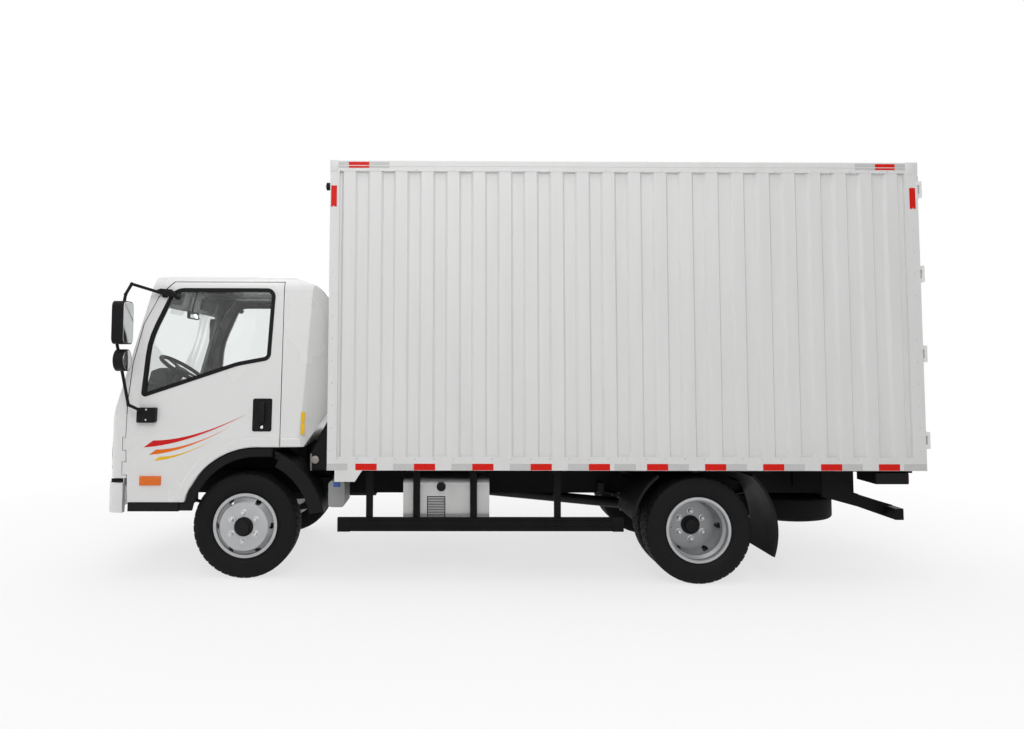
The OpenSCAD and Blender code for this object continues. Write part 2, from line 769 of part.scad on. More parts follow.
module urea_tank() {
  color("#77797c") at_front() {
    sheet_y(urea_out - tank_h, urea_out)
      translate([urea_front - urea_l, urea_low_z]) round_rect([urea_l, urea_h], urea_cap_r);
    rod_z(urea_front - urea_l / 2, urea_out - urea_cap_r * 2, urea_cap_r, urea_low_z + urea_h - over,
      urea_low_z + urea_h + urea_cap_r);
    block([urea_front - urea_l / 2 - strap_w / 2, rail_out_y + seam, urea_low_z + urea_h / 2 - strap_w / 2],
      [urea_front - urea_l / 2 + strap_w / 2, urea_out - tank_h, urea_low_z + urea_h / 2 + strap_w / 2]);
  }
}
module battery_box() {
  color("#1f1f21") at_front() right() {
    sheet_x(box_low_front - battery_l, box_low_front)
      translate([beside_y, tank_low_z]) round_rect([battery_out - beside_y, battery_h], strap_t * 2);
    hangers(box_low_front, battery_l, beside_y, frame_top - rail_h * hanger_down_share);
  }
}
pipe_shares = [1.8, 0.25];
module exhaust_canister() {
  mid_y = beside_y + canister_r + strap_t;
  mid_z = tank_low_z + canister_r + strap_t;
  color("#6f6a66") at_front() right() {
    rod_x(mid_y, mid_z, canister_r, canister_front - canister_l, canister_front);
    rod_x(mid_y, mid_z, pipe_r, canister_front - canister_l * pipe_shares[0],
      canister_front + canister_l * pipe_shares[1]);
    for (s = hanger_shares)
      block([canister_front - s * canister_l - strap_w / 2, rail_out_y + seam, mid_z - strap_w / 2],
        [canister_front - s * canister_l + strap_w / 2, mid_y, mid_z + strap_w / 2]);
  }
}

// Side guards, mudguards and rear gear

// Places of the guard posts as shares of the bar from its front end
guard_post_shares = [0.11, 0.275, 0.475, 0.77];
bearer_low_z = box_low_z + load_floor_up - load_floor_t - bearer_h;
guard_rear = guard_rear_gap - wheelbase;
guard_l = guard_front - guard_rear;
guard_half_w = box_w / 2 - guard_in;

module side_guards() {
  color("#161618") at_front() both_sides() {
    block([guard_rear, guard_half_w - guard_t, guard_low_z],
      [guard_front, guard_half_w, guard_low_z + guard_h]);
    for (s = guard_post_shares)
      block([guard_front - s * guard_l - guard_post_w / 2, guard_half_w - guard_t, guard_low_z],
        [guard_front - s * guard_l + guard_post_w / 2, guard_half_w - guard_t / 2, bearer_low_z - seam]);
  }
}
// Start, end and stay angles of the mudguards round their axle, from straight ahead
front_guard_angles = [112, 170, 162];
rear_guard_angles = [[10, 53, 36], [134, 199, 150]];
rear_guard_out = box_w / 2 - rear_guard_gap;
// The skirt of a front mudguard ends this many degrees inside it
skirt_turn = 1.5;
stay_r = 9;

// Mudguard arc with the stay that ties it to the rail
module mudguard(r, angles, y0, y1) {
  stay_at_r = r - mudguard_t / 2;
  translate([0, 0, axle_z]) {
    sheet_y(y0, y1) ring_sector(r, mudguard_t, angles[0], angles[1]);
    rod_y(stay_at_r * cos(angles[2]), stay_at_r * sin(angles[2]), stay_r, rail_out_y + seam, y0 + over);
  }
}
module front_mudguards() {
  color("#1b1b1d") at_front() both_sides() {
    mudguard(front_guard_r, front_guard_angles, front_guard_in, front_guard_out);
    // Skirt at the outer edge
    translate([0, 0, axle_z]) sheet_y(front_guard_out - mudguard_t, front_guard_out - over)
      ring_sector(front_guard_r - mudguard_t / 2, mudguard_t * 2, front_guard_angles[0] + skirt_turn,
        front_guard_angles[1] - skirt_turn);
  }
}
module rear_mudguards() {
  color("#161618") at_rear() both_sides() {
    mudguard(rear_guard_front_r, rear_guard_angles[0], rear_guard_in, rear_guard_out);
    mudguard(rear_guard_back_r, rear_guard_angles[1], rear_guard_in, rear_guard_out);
  }
}
spare_hanger_r = 16;
module spare_wheel() {
  color("#2b2b2d") at_rear() translate([-spare_back, 0, spare_z]) mirror([0, 0, 1]) {
    rim();
    tyre();
  }
  color("#2b2b2d") at_rear() translate([-spare_back, 0, 0]) {
    rod_z(0, 0, disc_flat_r, spare_z - disc_out + rim_t + seam, spare_z - disc_out + rim_t * 2);
    rod_z(0, 0, spare_hanger_r, spare_z - disc_out + rim_t * 2 + seam, cross_z - cross_r - seam);
  }
}
underrun_arm_t = 14;
underrun_arm_share = 0.85;
underrun_half_l = box_w / 2 - underrun_in;
underrun_arm_y = underrun_half_l * underrun_arm_share;
// Corners of an arm: shares of its length from the bar forward and of its height from the bar up
underrun_arm_shares = [[0, 0], [1, 0.41], [1, 1], [0.76, 1], [0.54, 0.48], [0, 0.24]];
underrun_arm_l = 530;

module underrun_bar() {
  color("#161618") at_rear() both_sides() {
    block([-underrun_back, 0, underrun_z], [underrun_t - underrun_back, underrun_half_l,
      underrun_z + underrun_h]);
    for (y = [rail_out_y + seam, underrun_arm_y])
      sheet_y(y, y + underrun_arm_t)
        polygon(placed(underrun_arm_shares, [-underrun_back, underrun_z],
          [underrun_arm_l, bearer_low_z - seam - underrun_z]));
  }
}
lamp_l = 238;
lamp_w = 260;
lamp_h = 80;
lamp_rear = -wheelbase - underrun_back;
marker_r = 24;
marker_l = 26;
marker_down = 190;

module body_lamps() {
  color("#3a1012") at_front() both_sides() {
    // Tail lamp under the rear corner, hung from the last floor bearer
    block([lamp_rear, box_w / 2 - lamp_w - wall_t, bearer_low_z - seam - lamp_h],
      [lamp_rear + lamp_l, box_w / 2 - wall_t, bearer_low_z - seam]);
    // Marker lamp high on the front corner post
    rod_x(box_w / 2 - post_w / 2, box_top_z - marker_down, marker_r, seam - box_front,
      marker_l - box_front);
  }
}

// Load box

box_front_x = -box_front;
rear_face_x = -wheelbase - rear_overhang + lock_depth;
box_half_w = box_w / 2;
box_in_y = box_half_w - wall_t;
wall_front_x = box_front_x - post_w - seam;
wall_rear_x = rear_face_x + rear_frame_l + seam;
wall_l = wall_front_x - wall_rear_x;
wall_top_z = box_top_z - roof_t;
panel_low_z = box_low_z + low_rail_h;
panel_top_z = wall_top_z - top_rail_h;
floor_top_z = box_low_z + load_floor_up;
floor_low_z = floor_top_z - load_floor_t;
// The plates of a wall lie this far inside its rails
plate_in = 3;
// One rib: share of the pitch, and 1 in the recess or 0 on the plate
rib_shares = [[0.24, 1], [0.33, 0], [0.77, 0], [0.86, 1]];
// Front corner skirt: length and depth below the bottom rail
skirt_l = 200;
skirt_h = 80;
skirt_foot_share = 0.72;
end_strip_share = 4;
end_strip_l = plate_in * end_strip_share;
stringer_w = 60;

// Plan of a corrugated wall with its flat inner face along X
module corrugated(length, count, wall, depth) {
  pitch = length / count;
  polygon(concat([[0, 0], [0, wall - depth]],
    [for (i = [0 : count - 1]) for (s = rib_shares) [(i + s[0]) * pitch, wall - s[1] * depth]],
    [[length, wall - depth], [length, 0]]));
}
module box_side() {
  color("#e9e9ea") at_front() {
    translate([wall_rear_x, box_in_y, panel_low_z - over])
      linear_extrude(panel_top_z - panel_low_z + over * 2)
      corrugated(wall_l, side_ribs, wall_t - plate_in, rib_depth);
    block([wall_rear_x, box_in_y, box_low_z], [wall_front_x, box_half_w, panel_low_z]);
    block([wall_rear_x, box_in_y, panel_top_z], [wall_front_x, box_half_w, wall_top_z]);
    for (x = [wall_rear_x, wall_front_x - end_strip_l])
      block([x, box_in_y, box_low_z], [x + end_strip_l, box_half_w, wall_top_z]);
    sheet_y(box_half_w - plate_in * 2, box_half_w)
      polygon([[wall_front_x, box_low_z + over], [wall_front_x - skirt_l, box_low_z + over],
        [wall_front_x - skirt_l * skirt_foot_share, box_low_z - skirt_h],
        [wall_front_x, box_low_z - skirt_h]]);
  }
}
module box_side_left() box_side();
module box_side_right() right() box_side();
module box_front_wall() {
  color("#e9e9ea") at_front() {
    both_sides()
      block([box_front_x - post_w, box_half_w - post_w, box_low_z], [box_front_x, box_half_w, wall_top_z]);
    for (z = [[box_low_z, panel_low_z], [panel_top_z, wall_top_z]])
      block([box_front_x - wall_t, post_w - box_half_w - over, z[0]],
        [box_front_x, box_half_w - post_w + over, z[1]]);
    translate([box_front_x - wall_t, box_half_w - post_w, panel_low_z - over]) rotate([0, 0, -90])
      linear_extrude(panel_top_z - panel_low_z + over * 2)
        corrugated(box_w - post_w * 2, front_ribs, wall_t - plate_in, rib_depth / 2);
  }
}
roof_turn_shares = [0, 0, 3, 3];
module box_roof() {
  color("#e4e4e6") at_front()
    sheet_x(wall_rear_x, box_front_x)
      rounded([[-box_half_w, wall_top_z + seam], [box_half_w, wall_top_z + seam], [box_half_w, box_top_z],
        [-box_half_w, box_top_z]], [for (share = roof_turn_shares) plate_in * share]);
}
bearer_w_share = 0.8;
module box_floor() {
  bearer_w = bearer_h * bearer_w_share;
  pitch = (wall_l - bearer_w) / (bearers - 1);
  floor_half_w = box_in_y - seam;
  color("#5b5148") at_front() {
    block([wall_rear_x, -floor_half_w, floor_low_z], [wall_front_x, floor_half_w, floor_top_z]);
    for (i = [0 : bearers - 1])
      block([wall_rear_x + i * pitch, -floor_half_w, bearer_low_z],
        [wall_rear_x + i * pitch + bearer_w, floor_half_w, floor_low_z]);
    both_sides() {
      block([wall_rear_x, rail_out_y - rail_w, frame_top + seam], [wall_front_x, rail_out_y, floor_low_z]);
      for (y = [guard_half_w, underrun_arm_y + stringer_w / 2])
        block([wall_rear_x, y - stringer_w, bearer_low_z], [wall_front_x, y, floor_low_z]);
    }
  }
}

// Rear frame, doors and locks

opening_half_w = box_half_w - post_w;
opening_low_z = panel_low_z;
opening_top_z = panel_top_z;
hinge_wall = 3.5;
hinge_knuckle_r = hinge_pin_r + hinge_wall;
hinge_x = rear_face_x - lock_depth + hinge_knuckle_r;
hinge_y = box_half_w + hinge_out;
hinge_h = 60;
// Heights of the hinges as shares of the opening
hinge_shares = [0.06, 0.36, 0.64, 0.94];
hinge_strap_l = 120;
strap_in_y = opening_half_w - hinge_strap_l;
leaf_low_z = opening_low_z + door_gap;
leaf_top_z = opening_top_z - door_gap;
leaf_rear_x = rear_face_x + rear_door_in;
leaf_front_x = leaf_rear_x + rear_door_t;
leaf_in_y = door_gap / 2;
leaf_out_y = opening_half_w - door_gap;
stile_w = 220;
stile_share = 1.5;
bar_off = 7;
bar_x = leaf_rear_x - lock_bar_r - bar_off;
bar_share = 0.6;
bar_y = stile_w * bar_share;
guide_h = 44;
guide_w_share = 1.6;
guide_shares = [0.04, 0.3, 0.7, 0.96];
handle_z_share = 0.3;
handle_z = leaf_low_z + handle_z_share * (leaf_top_z - leaf_low_z);
handle_l = 330;
handle_h = 34;
handle_t = 10;

function hinge_zs() = [for (s = hinge_shares) opening_low_z + s * (opening_top_z - opening_low_z)];

stop_share = 8;
stop_l = plate_in * stop_share;
module box_rear_frame() {
  color("#dcdcde") at_front() {
    difference() {
      block([rear_face_x, -box_half_w, box_low_z], [rear_face_x + rear_frame_l, box_half_w, box_top_z]);
      block([rear_face_x - over, -opening_half_w, opening_low_z],
        [rear_face_x + rear_frame_l + over, opening_half_w, opening_top_z]);
    }
    // Stop behind the doors
    difference() {
      block([leaf_front_x + seam, -opening_half_w - over, opening_low_z - over],
        [rear_face_x + rear_frame_l, opening_half_w + over, opening_top_z + over]);
      block([leaf_front_x - over, stop_l - opening_half_w, floor_top_z],
        [rear_face_x + rear_frame_l + over, opening_half_w - stop_l, opening_top_z - stop_l]);
    }
    both_sides()
      for (z = hinge_zs()) {
        rod_z(hinge_x, hinge_y, hinge_pin_r, z - hinge_h, z + hinge_h);
        for (low = [z - hinge_h, z + hinge_h / 2 + run_gap]) {
          rod_z(hinge_x, hinge_y, hinge_knuckle_r, low, low + hinge_h / 2 - run_gap);
          block([hinge_x - hinge_wall, box_half_w - post_w / 2, low],
            [rear_face_x + over, hinge_y, low + hinge_h / 2 - run_gap]);
        }
      }
  }
}
module box_door() {
  color("#e9e9ea") at_front() {
    for (y = [[leaf_in_y, stile_w], [leaf_out_y - stile_w / 2, leaf_out_y]])
      block([leaf_rear_x, y[0], leaf_low_z], [leaf_front_x, y[1], leaf_top_z]);
    for (z = [[leaf_low_z, leaf_low_z + stile_w / 2], [leaf_top_z - stile_w / 2, leaf_top_z]])
      block([leaf_rear_x, leaf_in_y, z[0]], [leaf_front_x, leaf_out_y, z[1]]);
    translate([leaf_front_x, stile_w - over, leaf_low_z]) rotate([0, 0, 90])
      linear_extrude(leaf_top_z - leaf_low_z)
        corrugated(leaf_out_y - stile_w * stile_share + over * 2, door_ribs, rear_door_t - plate_in,
          rib_depth / 2);
    for (z = hinge_zs())
      difference() {
        union() {
          rod_z(hinge_x, hinge_y, hinge_knuckle_r, z - hinge_h / 2, z + hinge_h / 2);
          block([hinge_x - hinge_wall, strap_in_y, z - hinge_h / 2],
            [hinge_x + hinge_wall, hinge_y, z + hinge_h / 2]);
          block([hinge_x, strap_in_y, z - hinge_h / 2],
            [leaf_rear_x + plate_in, leaf_out_y - end_strip_l, z + hinge_h / 2]);
        }
        rod_z(hinge_x, hinge_y, hinge_pin_r + run_gap, z - hinge_h, z + hinge_h);
      }
  }
}
module box_lock() {
  color("#b9bbbd") at_front() {
    rod_z(bar_x, bar_y, lock_bar_r, leaf_low_z + plate_in, leaf_top_z - plate_in);
    for (s = guide_shares) {
      z = leaf_low_z + s * (leaf_top_z - leaf_low_z);
      block([bar_x, bar_y - lock_bar_r * guide_w_share, z - guide_h / 2],
        [leaf_rear_x - seam, bar_y + lock_bar_r * guide_w_share, z + guide_h / 2]);
    }
    for (far = [[rear_face_x - lock_depth + handle_t, bar_y + handle_l], [bar_x, bar_y + lock_bar_r]])
      block([rear_face_x - lock_depth, bar_y - lock_bar_r, handle_z], concat(far, [handle_z + handle_h]));
  }
}
module box_door_left() box_door();
module box_door_right() right() box_door();
module box_lock_left() box_lock();
module box_lock_right() right() box_lock();

// Cab body: the room inside four outlines, each drawn at an inset of d from the outer skin

screen_back = 22;
screen_x = cab_front_x - screen_back;
roof_top_z = roof_edge_z + roof_rise;
roof_over = 4;
rake_run = tan(rake);
front_flat_share = 0.63;
front_flat_half_w = cab_half_w * front_flat_share;
front_corner_d = 38;
front_corner_x = cab_front_x - front_corner_d;
quarter_x = cab_low_rear_x + cab_wall / 2;
rear_half_share = 0.76;
rear_half_w = cab_half_w * rear_half_share;
roof_slope_share = 0.42;
roof_slope_x = cab_rear_x * roof_slope_share;
roof_flat_share = 0.55;
rear_top_down = 118;
rear_top_z = roof_top_z - rear_top_down;
rear_lean = 18;
rear_top_x = cab_rear_x + rear_lean;

function screen_line_x(z) = screen_x + roof_over - (z - screen_z) * rake_run;

// Roof, rear and windscreen line in length and height
side_outline = [[screen_line_x(0), 0], [screen_line_x(roof_top_z + roof_over), roof_top_z + roof_over],
  [roof_slope_x, roof_top_z + roof_over], [rear_top_x, rear_top_z], [cab_rear_x, bulge_z],
  [cab_low_rear_x, cab_low_z], [cab_low_rear_x, 0]];
side_radii = [0, 180, 700, 130, 80, 0, 0];
// Sides and roof in width and height
roof_flat_half_w = roof_half_w * roof_flat_share;
section_outline = [[-cab_half_w, 0], [cab_half_w, 0], [cab_half_w, belt_z], [roof_half_w, roof_edge_z],
  [roof_flat_half_w, roof_top_z], [-roof_flat_half_w, roof_top_z], [-roof_half_w, roof_edge_z],
  [-cab_half_w, belt_z]];
section_radii = [0, 0, 0, 130, 0, 0, 130, 0];
// Front and rear corners in length and width
plan_half_w = cab_half_w + roof_over;
rear_past_share = 4;
rear_past = roof_over * rear_past_share;
plan_outline = [[cab_rear_x - rear_past, -rear_half_w], [quarter_x, -plan_half_w],
  [front_corner_x, -plan_half_w], [cab_front_x, -front_flat_half_w], [cab_front_x, front_flat_half_w],
  [front_corner_x, plan_half_w], [quarter_x, plan_half_w], [cab_rear_x - rear_past, rear_half_w]];
plan_radii = [0, 120, 105, 700, 700, 105, 120, 0];
// Windscreen and its pillars, square to the raked column
screen_bow = 60;
screen_shares = [1.2, 1.5];
screen_out_y = cab_half_w * screen_shares[0];
screen_back_x = screen_bow * screen_shares[1];
screen_outline = [[-span / 2, -screen_out_y], [-screen_back_x, -screen_out_y],
  [0, -front_flat_half_w], [0, front_flat_half_w], [-screen_back_x, screen_out_y],
  [-span / 2, screen_out_y]];
screen_radii = [0, 0, 1500, 1500, 0, 0];

module side_2d(d) rounded(inset(side_outline, d), less(side_radii, d));
module section_2d(d) rounded(inset(section_outline, d), less(section_radii, d));
module plan_2d(d) rounded(inset(plan_outline, d), less(plan_radii, d));
module screen_2d(d) rounded(inset(screen_outline, d), less(screen_radii, d));
module on_screen() {
  translate([screen_x, 0, screen_z]) rotate([0, -rake, 0]) children();
}
side_share = 1.1;
module cab_room(d) {
  intersection() {
    sheet_y(-cab_half_w * 2, cab_half_w * 2) side_2d(d);
    sheet_x(-span / 2, span / 2) section_2d(d);
    linear_extrude(span) plan_2d(d);
    on_screen() translate([0, 0, -span / 2]) linear_extrude(span) screen_2d(d);
  }
}

// Seams of the cab

door_l = door_front_x - door_rear_x;
door_h = door_top_z - door_low_z;
// Places shares of the length and height of a door
function on_door(shares) = placed(shares, [door_rear_x, door_low_z], [door_l, door_h]);
// Front edge of a door from its foot up, as shares of its length and height
door_edge_shares = [[0.981, 0], [1, 0.276], [1, 0.45], [0.979, 0.622], [0.92, 0.805], [0.832, 0.927],
  [0.735, 1]];
door_edge = on_door(door_edge_shares);
// Window of a door with its rubber, counterclockwise from the rear foot
window_shares = [[0.075, 0.64], [0.29, 0.612], [0.92, 0.464], [0.893, 0.735], [0.74, 0.972], [0.052, 0.972]];
window_radii = [55, 400, 30, 700, 130, 65];
window_outline = on_door(window_shares);
front_low_z = 740;
quarter_down = 16;
quarter_top_z = rear_top_z - quarter_down;
header_z = door_edge[5][1];
arch_top_z = arch_z + arch_r;
door_hinge_fwd = 16;
door_hinge_in = 5;
door_hinge_x = door_front_x + door_hinge_fwd;
door_hinge_y = cab_half_w - door_hinge_in;
door_pin_r = 4;
door_knuckle_r = 8;
door_hinge_h = 90;
door_hinge_shares = [0.15, 0.26];
tongue_share = 0.75;
// Pocket of a hinge: inward, forward and half heights of pocket and pin
pocket_shares = [1.6, 1.4, 0.56, 0.6];
pocket_half_h = door_hinge_h * pocket_shares[2];
pin_half_h = door_hinge_h * pocket_shares[3];

module door_outline_2d() {
  difference() {
    polygon(concat([[door_rear_x, door_low_z]], door_edge, [[door_rear_x, door_top_z]]));
    translate([-arch_back, arch_z]) circle(r = arch_r);
    translate([-span / 2 - arch_back, 0]) square([span / 2, arch_top_z]);
  }
}
module window_2d(d) rounded(inset(window_outline, d), less(window_radii, d));
// Layer of the side wall between two depths under its skin, over the length of a door
module side_layer(d0, d1) {
  sheet_x(door_rear_x - over, door_front_x + over) difference() {
    section_2d(d0);
    section_2d(d1);
    translate([-span / 2, 0]) square([span / 2, span]);
    translate([0, door_top_z + over]) square([span, span]);
    translate([0, -over]) square([span, over + door_low_z / 2]);
  }
}
module on_side(d0, d1) {
  intersection() {
    side_layer(d0, d1);
    sheet_y(cab_half_w / 2, cab_half_w * side_share) children();
  }
}
function door_hinge_zs() = [for (s = door_hinge_shares) door_low_z + s * door_h];

// Door handle and side lamp, as shares of the door's length and height
handle_plate_shares = [[0.054, 0.316], [0.18, 0.464]];
side_lamp_shares = [[0.767, 0.076], [0.902, 0.115]];
handle_plate = on_door(handle_plate_shares);
side_lamp = on_door(side_lamp_shares);
handle_depth = 14;
handle_proud = 3;
lamp_proud = 9;
rubber_proud = 3;
module handle_2d(grow) {
  translate(handle_plate[0] - [grow, grow])
    round_rect(handle_plate[1] - handle_plate[0] + [grow, grow] * 2, handle_depth + grow);
}

module cab_door() {
  color("white") at_front() {
    difference() {
      on_side(0, cab_wall) difference() {
        door_outline_2d();
        window_2d(0);
      }
      on_side(-over, handle_depth + seam) handle_2d(seam);
    }
    for (z = door_hinge_zs())
      difference() {
        union() {
          rod_z(door_hinge_x, door_hinge_y, door_knuckle_r, z - door_hinge_h / 2, z + door_hinge_h / 2);
          block([door_edge[0][0] - door_knuckle_r * 2, door_hinge_y - door_knuckle_r * tongue_share,
            z - door_hinge_h / 2],
            [door_hinge_x, door_hinge_y + door_knuckle_r * tongue_share, z + door_hinge_h / 2]);
        }
        rod_z(door_hinge_x, door_hinge_y, door_pin_r + run_gap, z - door_hinge_h, z + door_hinge_h);
      }
  }
}
module door_glass() {
  color("#9fb0b8", 0.5) at_front() on_side(glass_in, glass_in + glass_t) window_2d(rubber_w + seam);
}

// Mirror arm from its lower mount: shares of the door's length and height, and out from the side
mirror_arm_shares = [[0.86, 0.396, 0.08], [0.955, 0.438, 0.75], [1.03, 0.72, 1], [0.98, 0.93, 1],
  [0.95, 0.978, 0.85], [0.79, 0.942, -0.42]];
mirror_out = 130;
mirror_arm_r = 11;
mirror_mount_shares = [[0.804, 0.356], [0.926, 0.423]];
mirror_mount = on_door(mirror_mount_shares);
upper_mount_shares = [[0.772, 0.926], [0.808, 0.956]];
upper_mount = on_door(upper_mount_shares);
mirror_mount_t = 40;
mirror_size = [180, 310];
mirror_turn_share = 0.25;
mirror_t = 80;
mirror_z = 1870;
round_mirror_r = 79;
round_mirror_t = 70;
round_mirror_z = 1600;
mirror_arm = [for (s = mirror_arm_shares)
  [door_rear_x + s[0] * door_l, cab_half_w + s[2] * mirror_out, door_low_z + s[1] * door_h]];

bend_share = 1.2;
// Round tube through a list of points, with a ball at each bend
module tube(points, r) {
  for (i = [0 : len(points) - 2]) {
    d = points[i + 1] - points[i];
    translate(points[i]) rotate([0, acos(d[2] / norm(d)), atan2(d[1], d[0])]) cylinder(r = r, h = norm(d));
  }
  for (p = points)
    translate(p) sphere(r = r * bend_share);
}
module door_fittings() {
  mirror_x = mirror_arm[2][0] - mirror_t;
  color("#1c1c1e") at_front() {
    on_side(-rubber_proud, cab_wall / 2) difference() {
      window_2d(seam);
      window_2d(rubber_w);
    }
    on_side(-handle_proud, handle_depth) handle_2d(0);
    on_side(-lamp_proud, -seam)
      translate(side_lamp[0]) round_rect(side_lamp[1] - side_lamp[0], lamp_proud);
    on_side(-mirror_mount_t, -seam)
      translate(mirror_mount[0]) round_rect(mirror_mount[1] - mirror_mount[0], mirror_arm_r);
    on_side(-mirror_mount_t / 2, -seam)
      translate(upper_mount[0]) round_rect(upper_mount[1] - upper_mount[0], mirror_arm_r);
    tube(mirror_arm, mirror_arm_r);
    sheet_x(mirror_x, mirror_x + mirror_t)
      translate([mirror_arm[2][1] - mirror_size[0] / 2, mirror_z - mirror_size[1] / 2])
        round_rect(mirror_size, mirror_size[0] * mirror_turn_share);
    rod_x(mirror_arm[2][1], round_mirror_z, round_mirror_r, mirror_x, mirror_x + round_mirror_t);
  }
}
module cab_door_left() cab_door();
module cab_door_right() right() cab_door();
module door_glass_left() door_glass();
module door_glass_right() right() door_glass();
module door_fittings_left() door_fittings();
module door_fittings_right() right() door_fittings();

// Cab panels

lamp_low_z = 800;
lamp_top_z = 1000;
lamp_shares = [0.6, 0.94];
lamp_in_y = cab_half_w * lamp_shares[0];
lamp_out_y = cab_half_w * lamp_shares[1];
lamp_depth = 36;
screen_half_w = 790;
screen_low = 40;
screen_high = 770;
screen_corner_r = 60;
screen_cut_share = 4;
screen_cut = cab_wall * screen_cut_share;
rear_window_half_w = 450;
rear_window_z = [1500, 1940];
grille_slots = 4;
grille_half_w = cab_half_w / 2;
grille_slot_h = 26;

module front_region_2d() {
  intersection() {
    polygon(concat([for (i = [0 : 5]) door_edge[i] + [door_gap, 0]], [[span, header_z], [span, door_low_z]]));
    translate([0, front_low_z]) square(span);
  }
}
module roof_region_2d() {
  polygon([[-span, quarter_top_z + seam], [door_rear_x - door_gap, quarter_top_z + seam],
    [door_rear_x - door_gap, door_top_z + door_gap], door_edge[6] + [door_gap, door_gap],
    [door_edge[5][0] + door_gap * 2, header_z + seam], [span, header_z + seam], [span, span], [-span, span]]);
}
module rear_region_2d() {
  polygon([[-span, cab_low_z], [door_rear_x - door_gap, cab_low_z], [door_rear_x - door_gap, quarter_top_z],
    [-span, quarter_top_z]]);
}
// Room at a depth d under the skin, with plain corners
module cab_inside(d) {
  intersection() {
    sheet_y(-cab_half_w * 2, cab_half_w * 2) polygon(inset(side_outline, d));
    sheet_x(-span / 2, span / 2) polygon(inset(section_outline, d));
    linear_extrude(span) polygon(inset(plan_outline, d));
    on_screen() translate([0, 0, -span / 2]) linear_extrude(span) polygon(inset(screen_outline, d));
  }
}
module cab_panel() {
  difference() {
    intersection() {
      cab_room(0);
      sheet_y(-cab_half_w * side_share, cab_half_w * side_share) children();
    }
    cab_inside(cab_wall);
  }
}
module screen_hole_2d(d) {
  translate([-screen_half_w + d, screen_low + d])
    round_rect([screen_half_w * 2 - d * 2, screen_high - screen_low - d * 2], screen_corner_r - d);
}
module rear_hole_2d(d) {
  translate([-rear_window_half_w + d, rear_window_z[0] + d])
    round_rect([rear_window_half_w * 2 - d * 2, rear_window_z[1] - rear_window_z[0] - d * 2],
      screen_corner_r - d);
}
module lamp_2d(d0, d1, grow) {
  intersection() {
    difference() {
      plan_2d(d0);
      plan_2d(d1);
    }
    translate([door_front_x, lamp_in_y - grow]) square([span, lamp_out_y - lamp_in_y + grow * 2]);
  }
}
module cab_front() {
  color("white") at_front() {
    difference() {
      cab_panel() front_region_2d();
      on_screen() sheet_x(-screen_cut, screen_cut) screen_hole_2d(0);
      both_sides() {
        translate([0, 0, lamp_low_z - seam]) linear_extrude(lamp_top_z - lamp_low_z + seam * 2)
          lamp_2d(-over, lamp_depth + seam, seam);
        for (z = door_hinge_zs())
          block([door_edge[0][0], door_hinge_y - door_knuckle_r * pocket_shares[0], z - pocket_half_h],
            [door_hinge_x + door_knuckle_r * pocket_shares[1], cab_half_w + over, z + pocket_half_h]);
      }
      for (i = [0 : grille_slots - 1])
        block([0, -grille_half_w, lamp_low_z + i * grille_slot_h * 2],
          [span, grille_half_w, lamp_low_z + i * grille_slot_h * 2 + grille_slot_h]);
    }
    both_sides()
      for (z = door_hinge_zs())
        rod_z(door_hinge_x, door_hinge_y, door_pin_r, z - pin_half_h, z + pin_half_h);
  }
}
module cab_roof() color("white") at_front() cab_panel() roof_region_2d();
module cab_rear() {
  color("white") at_front() difference() {
    cab_panel() rear_region_2d();
    sheet_x(-span / 2, cab_low_rear_x) rear_hole_2d(0);
  }
}
foot_low_z = frame_top + foot_floor_up;
floor_half_w = cab_half_w - cab_wall - door_gap;
step_front = door_edge[0][0];
step_back = 18;
step_rear = arch_r - arch_back + step_back;
step_h = 62;
step_low_z = door_low_z - door_gap - step_h;
step_w = 230;

module floor_slab(x0, x1, z0, z1) {
  translate([0, 0, z0]) linear_extrude(z1 - z0) intersection() {
    plan_2d(cab_wall + seam);
    translate([x0, -floor_half_w]) square([x1 - x0, floor_half_w * 2]);
  }
}
sleeve_share = 1.6;
module cab_floor() {
  color("#4a4b4e") at_front() {
    floor_slab(platform_front, span, foot_low_z, foot_low_z + floor_t);
    floor_slab(platform_front, platform_front + floor_t, foot_low_z, platform_z);
    floor_slab(cab_low_rear_x + cab_wall + seam, platform_front + floor_t, platform_low_z, platform_z);
    both_sides() {
      // Step under the door and the plate that carries it
      block([step_rear, cab_half_w - step_w, step_low_z],
        [step_front, cab_half_w - over, step_low_z + step_h]);
      block([step_rear, cab_half_w - step_w, step_low_z],
        [step_front, cab_half_w - step_w + floor_t, foot_low_z + floor_t / 2]);
      // Sleeve of the tilt pivot
      difference() {
        union() {
          rod_y(pivot_x, pivot_z, pivot_r * sleeve_share, lug_in_y, lug_in_y + lug_w);
          block([pivot_x - pivot_r, lug_in_y, pivot_z], [pivot_x + pivot_r, lug_in_y + lug_w,
            foot_low_z + floor_t / 2]);
        }
        rod_y(pivot_x, pivot_z, pivot_r + run_gap, 0, cab_half_w);
      }
    }
  }
}
bumper_low_z = 488;
bumper_top_z = 703;
bumper_rear_x = 884;
bumper_wall = 50;
bumper_arm_y = 560;
bumper_arm_w = 70;
bumper_corner = 45;
bumper_half_w = cab_half_w - roof_over;
bumper_outline = [[0, -bumper_half_w], [front_overhang - bumper_corner, -bumper_half_w],
  [front_overhang, -front_flat_half_w], [front_overhang, front_flat_half_w],
  [front_overhang - bumper_corner, bumper_half_w], [0, bumper_half_w]];
bumper_radii = [0, 110, 700, 700, 110, 0];

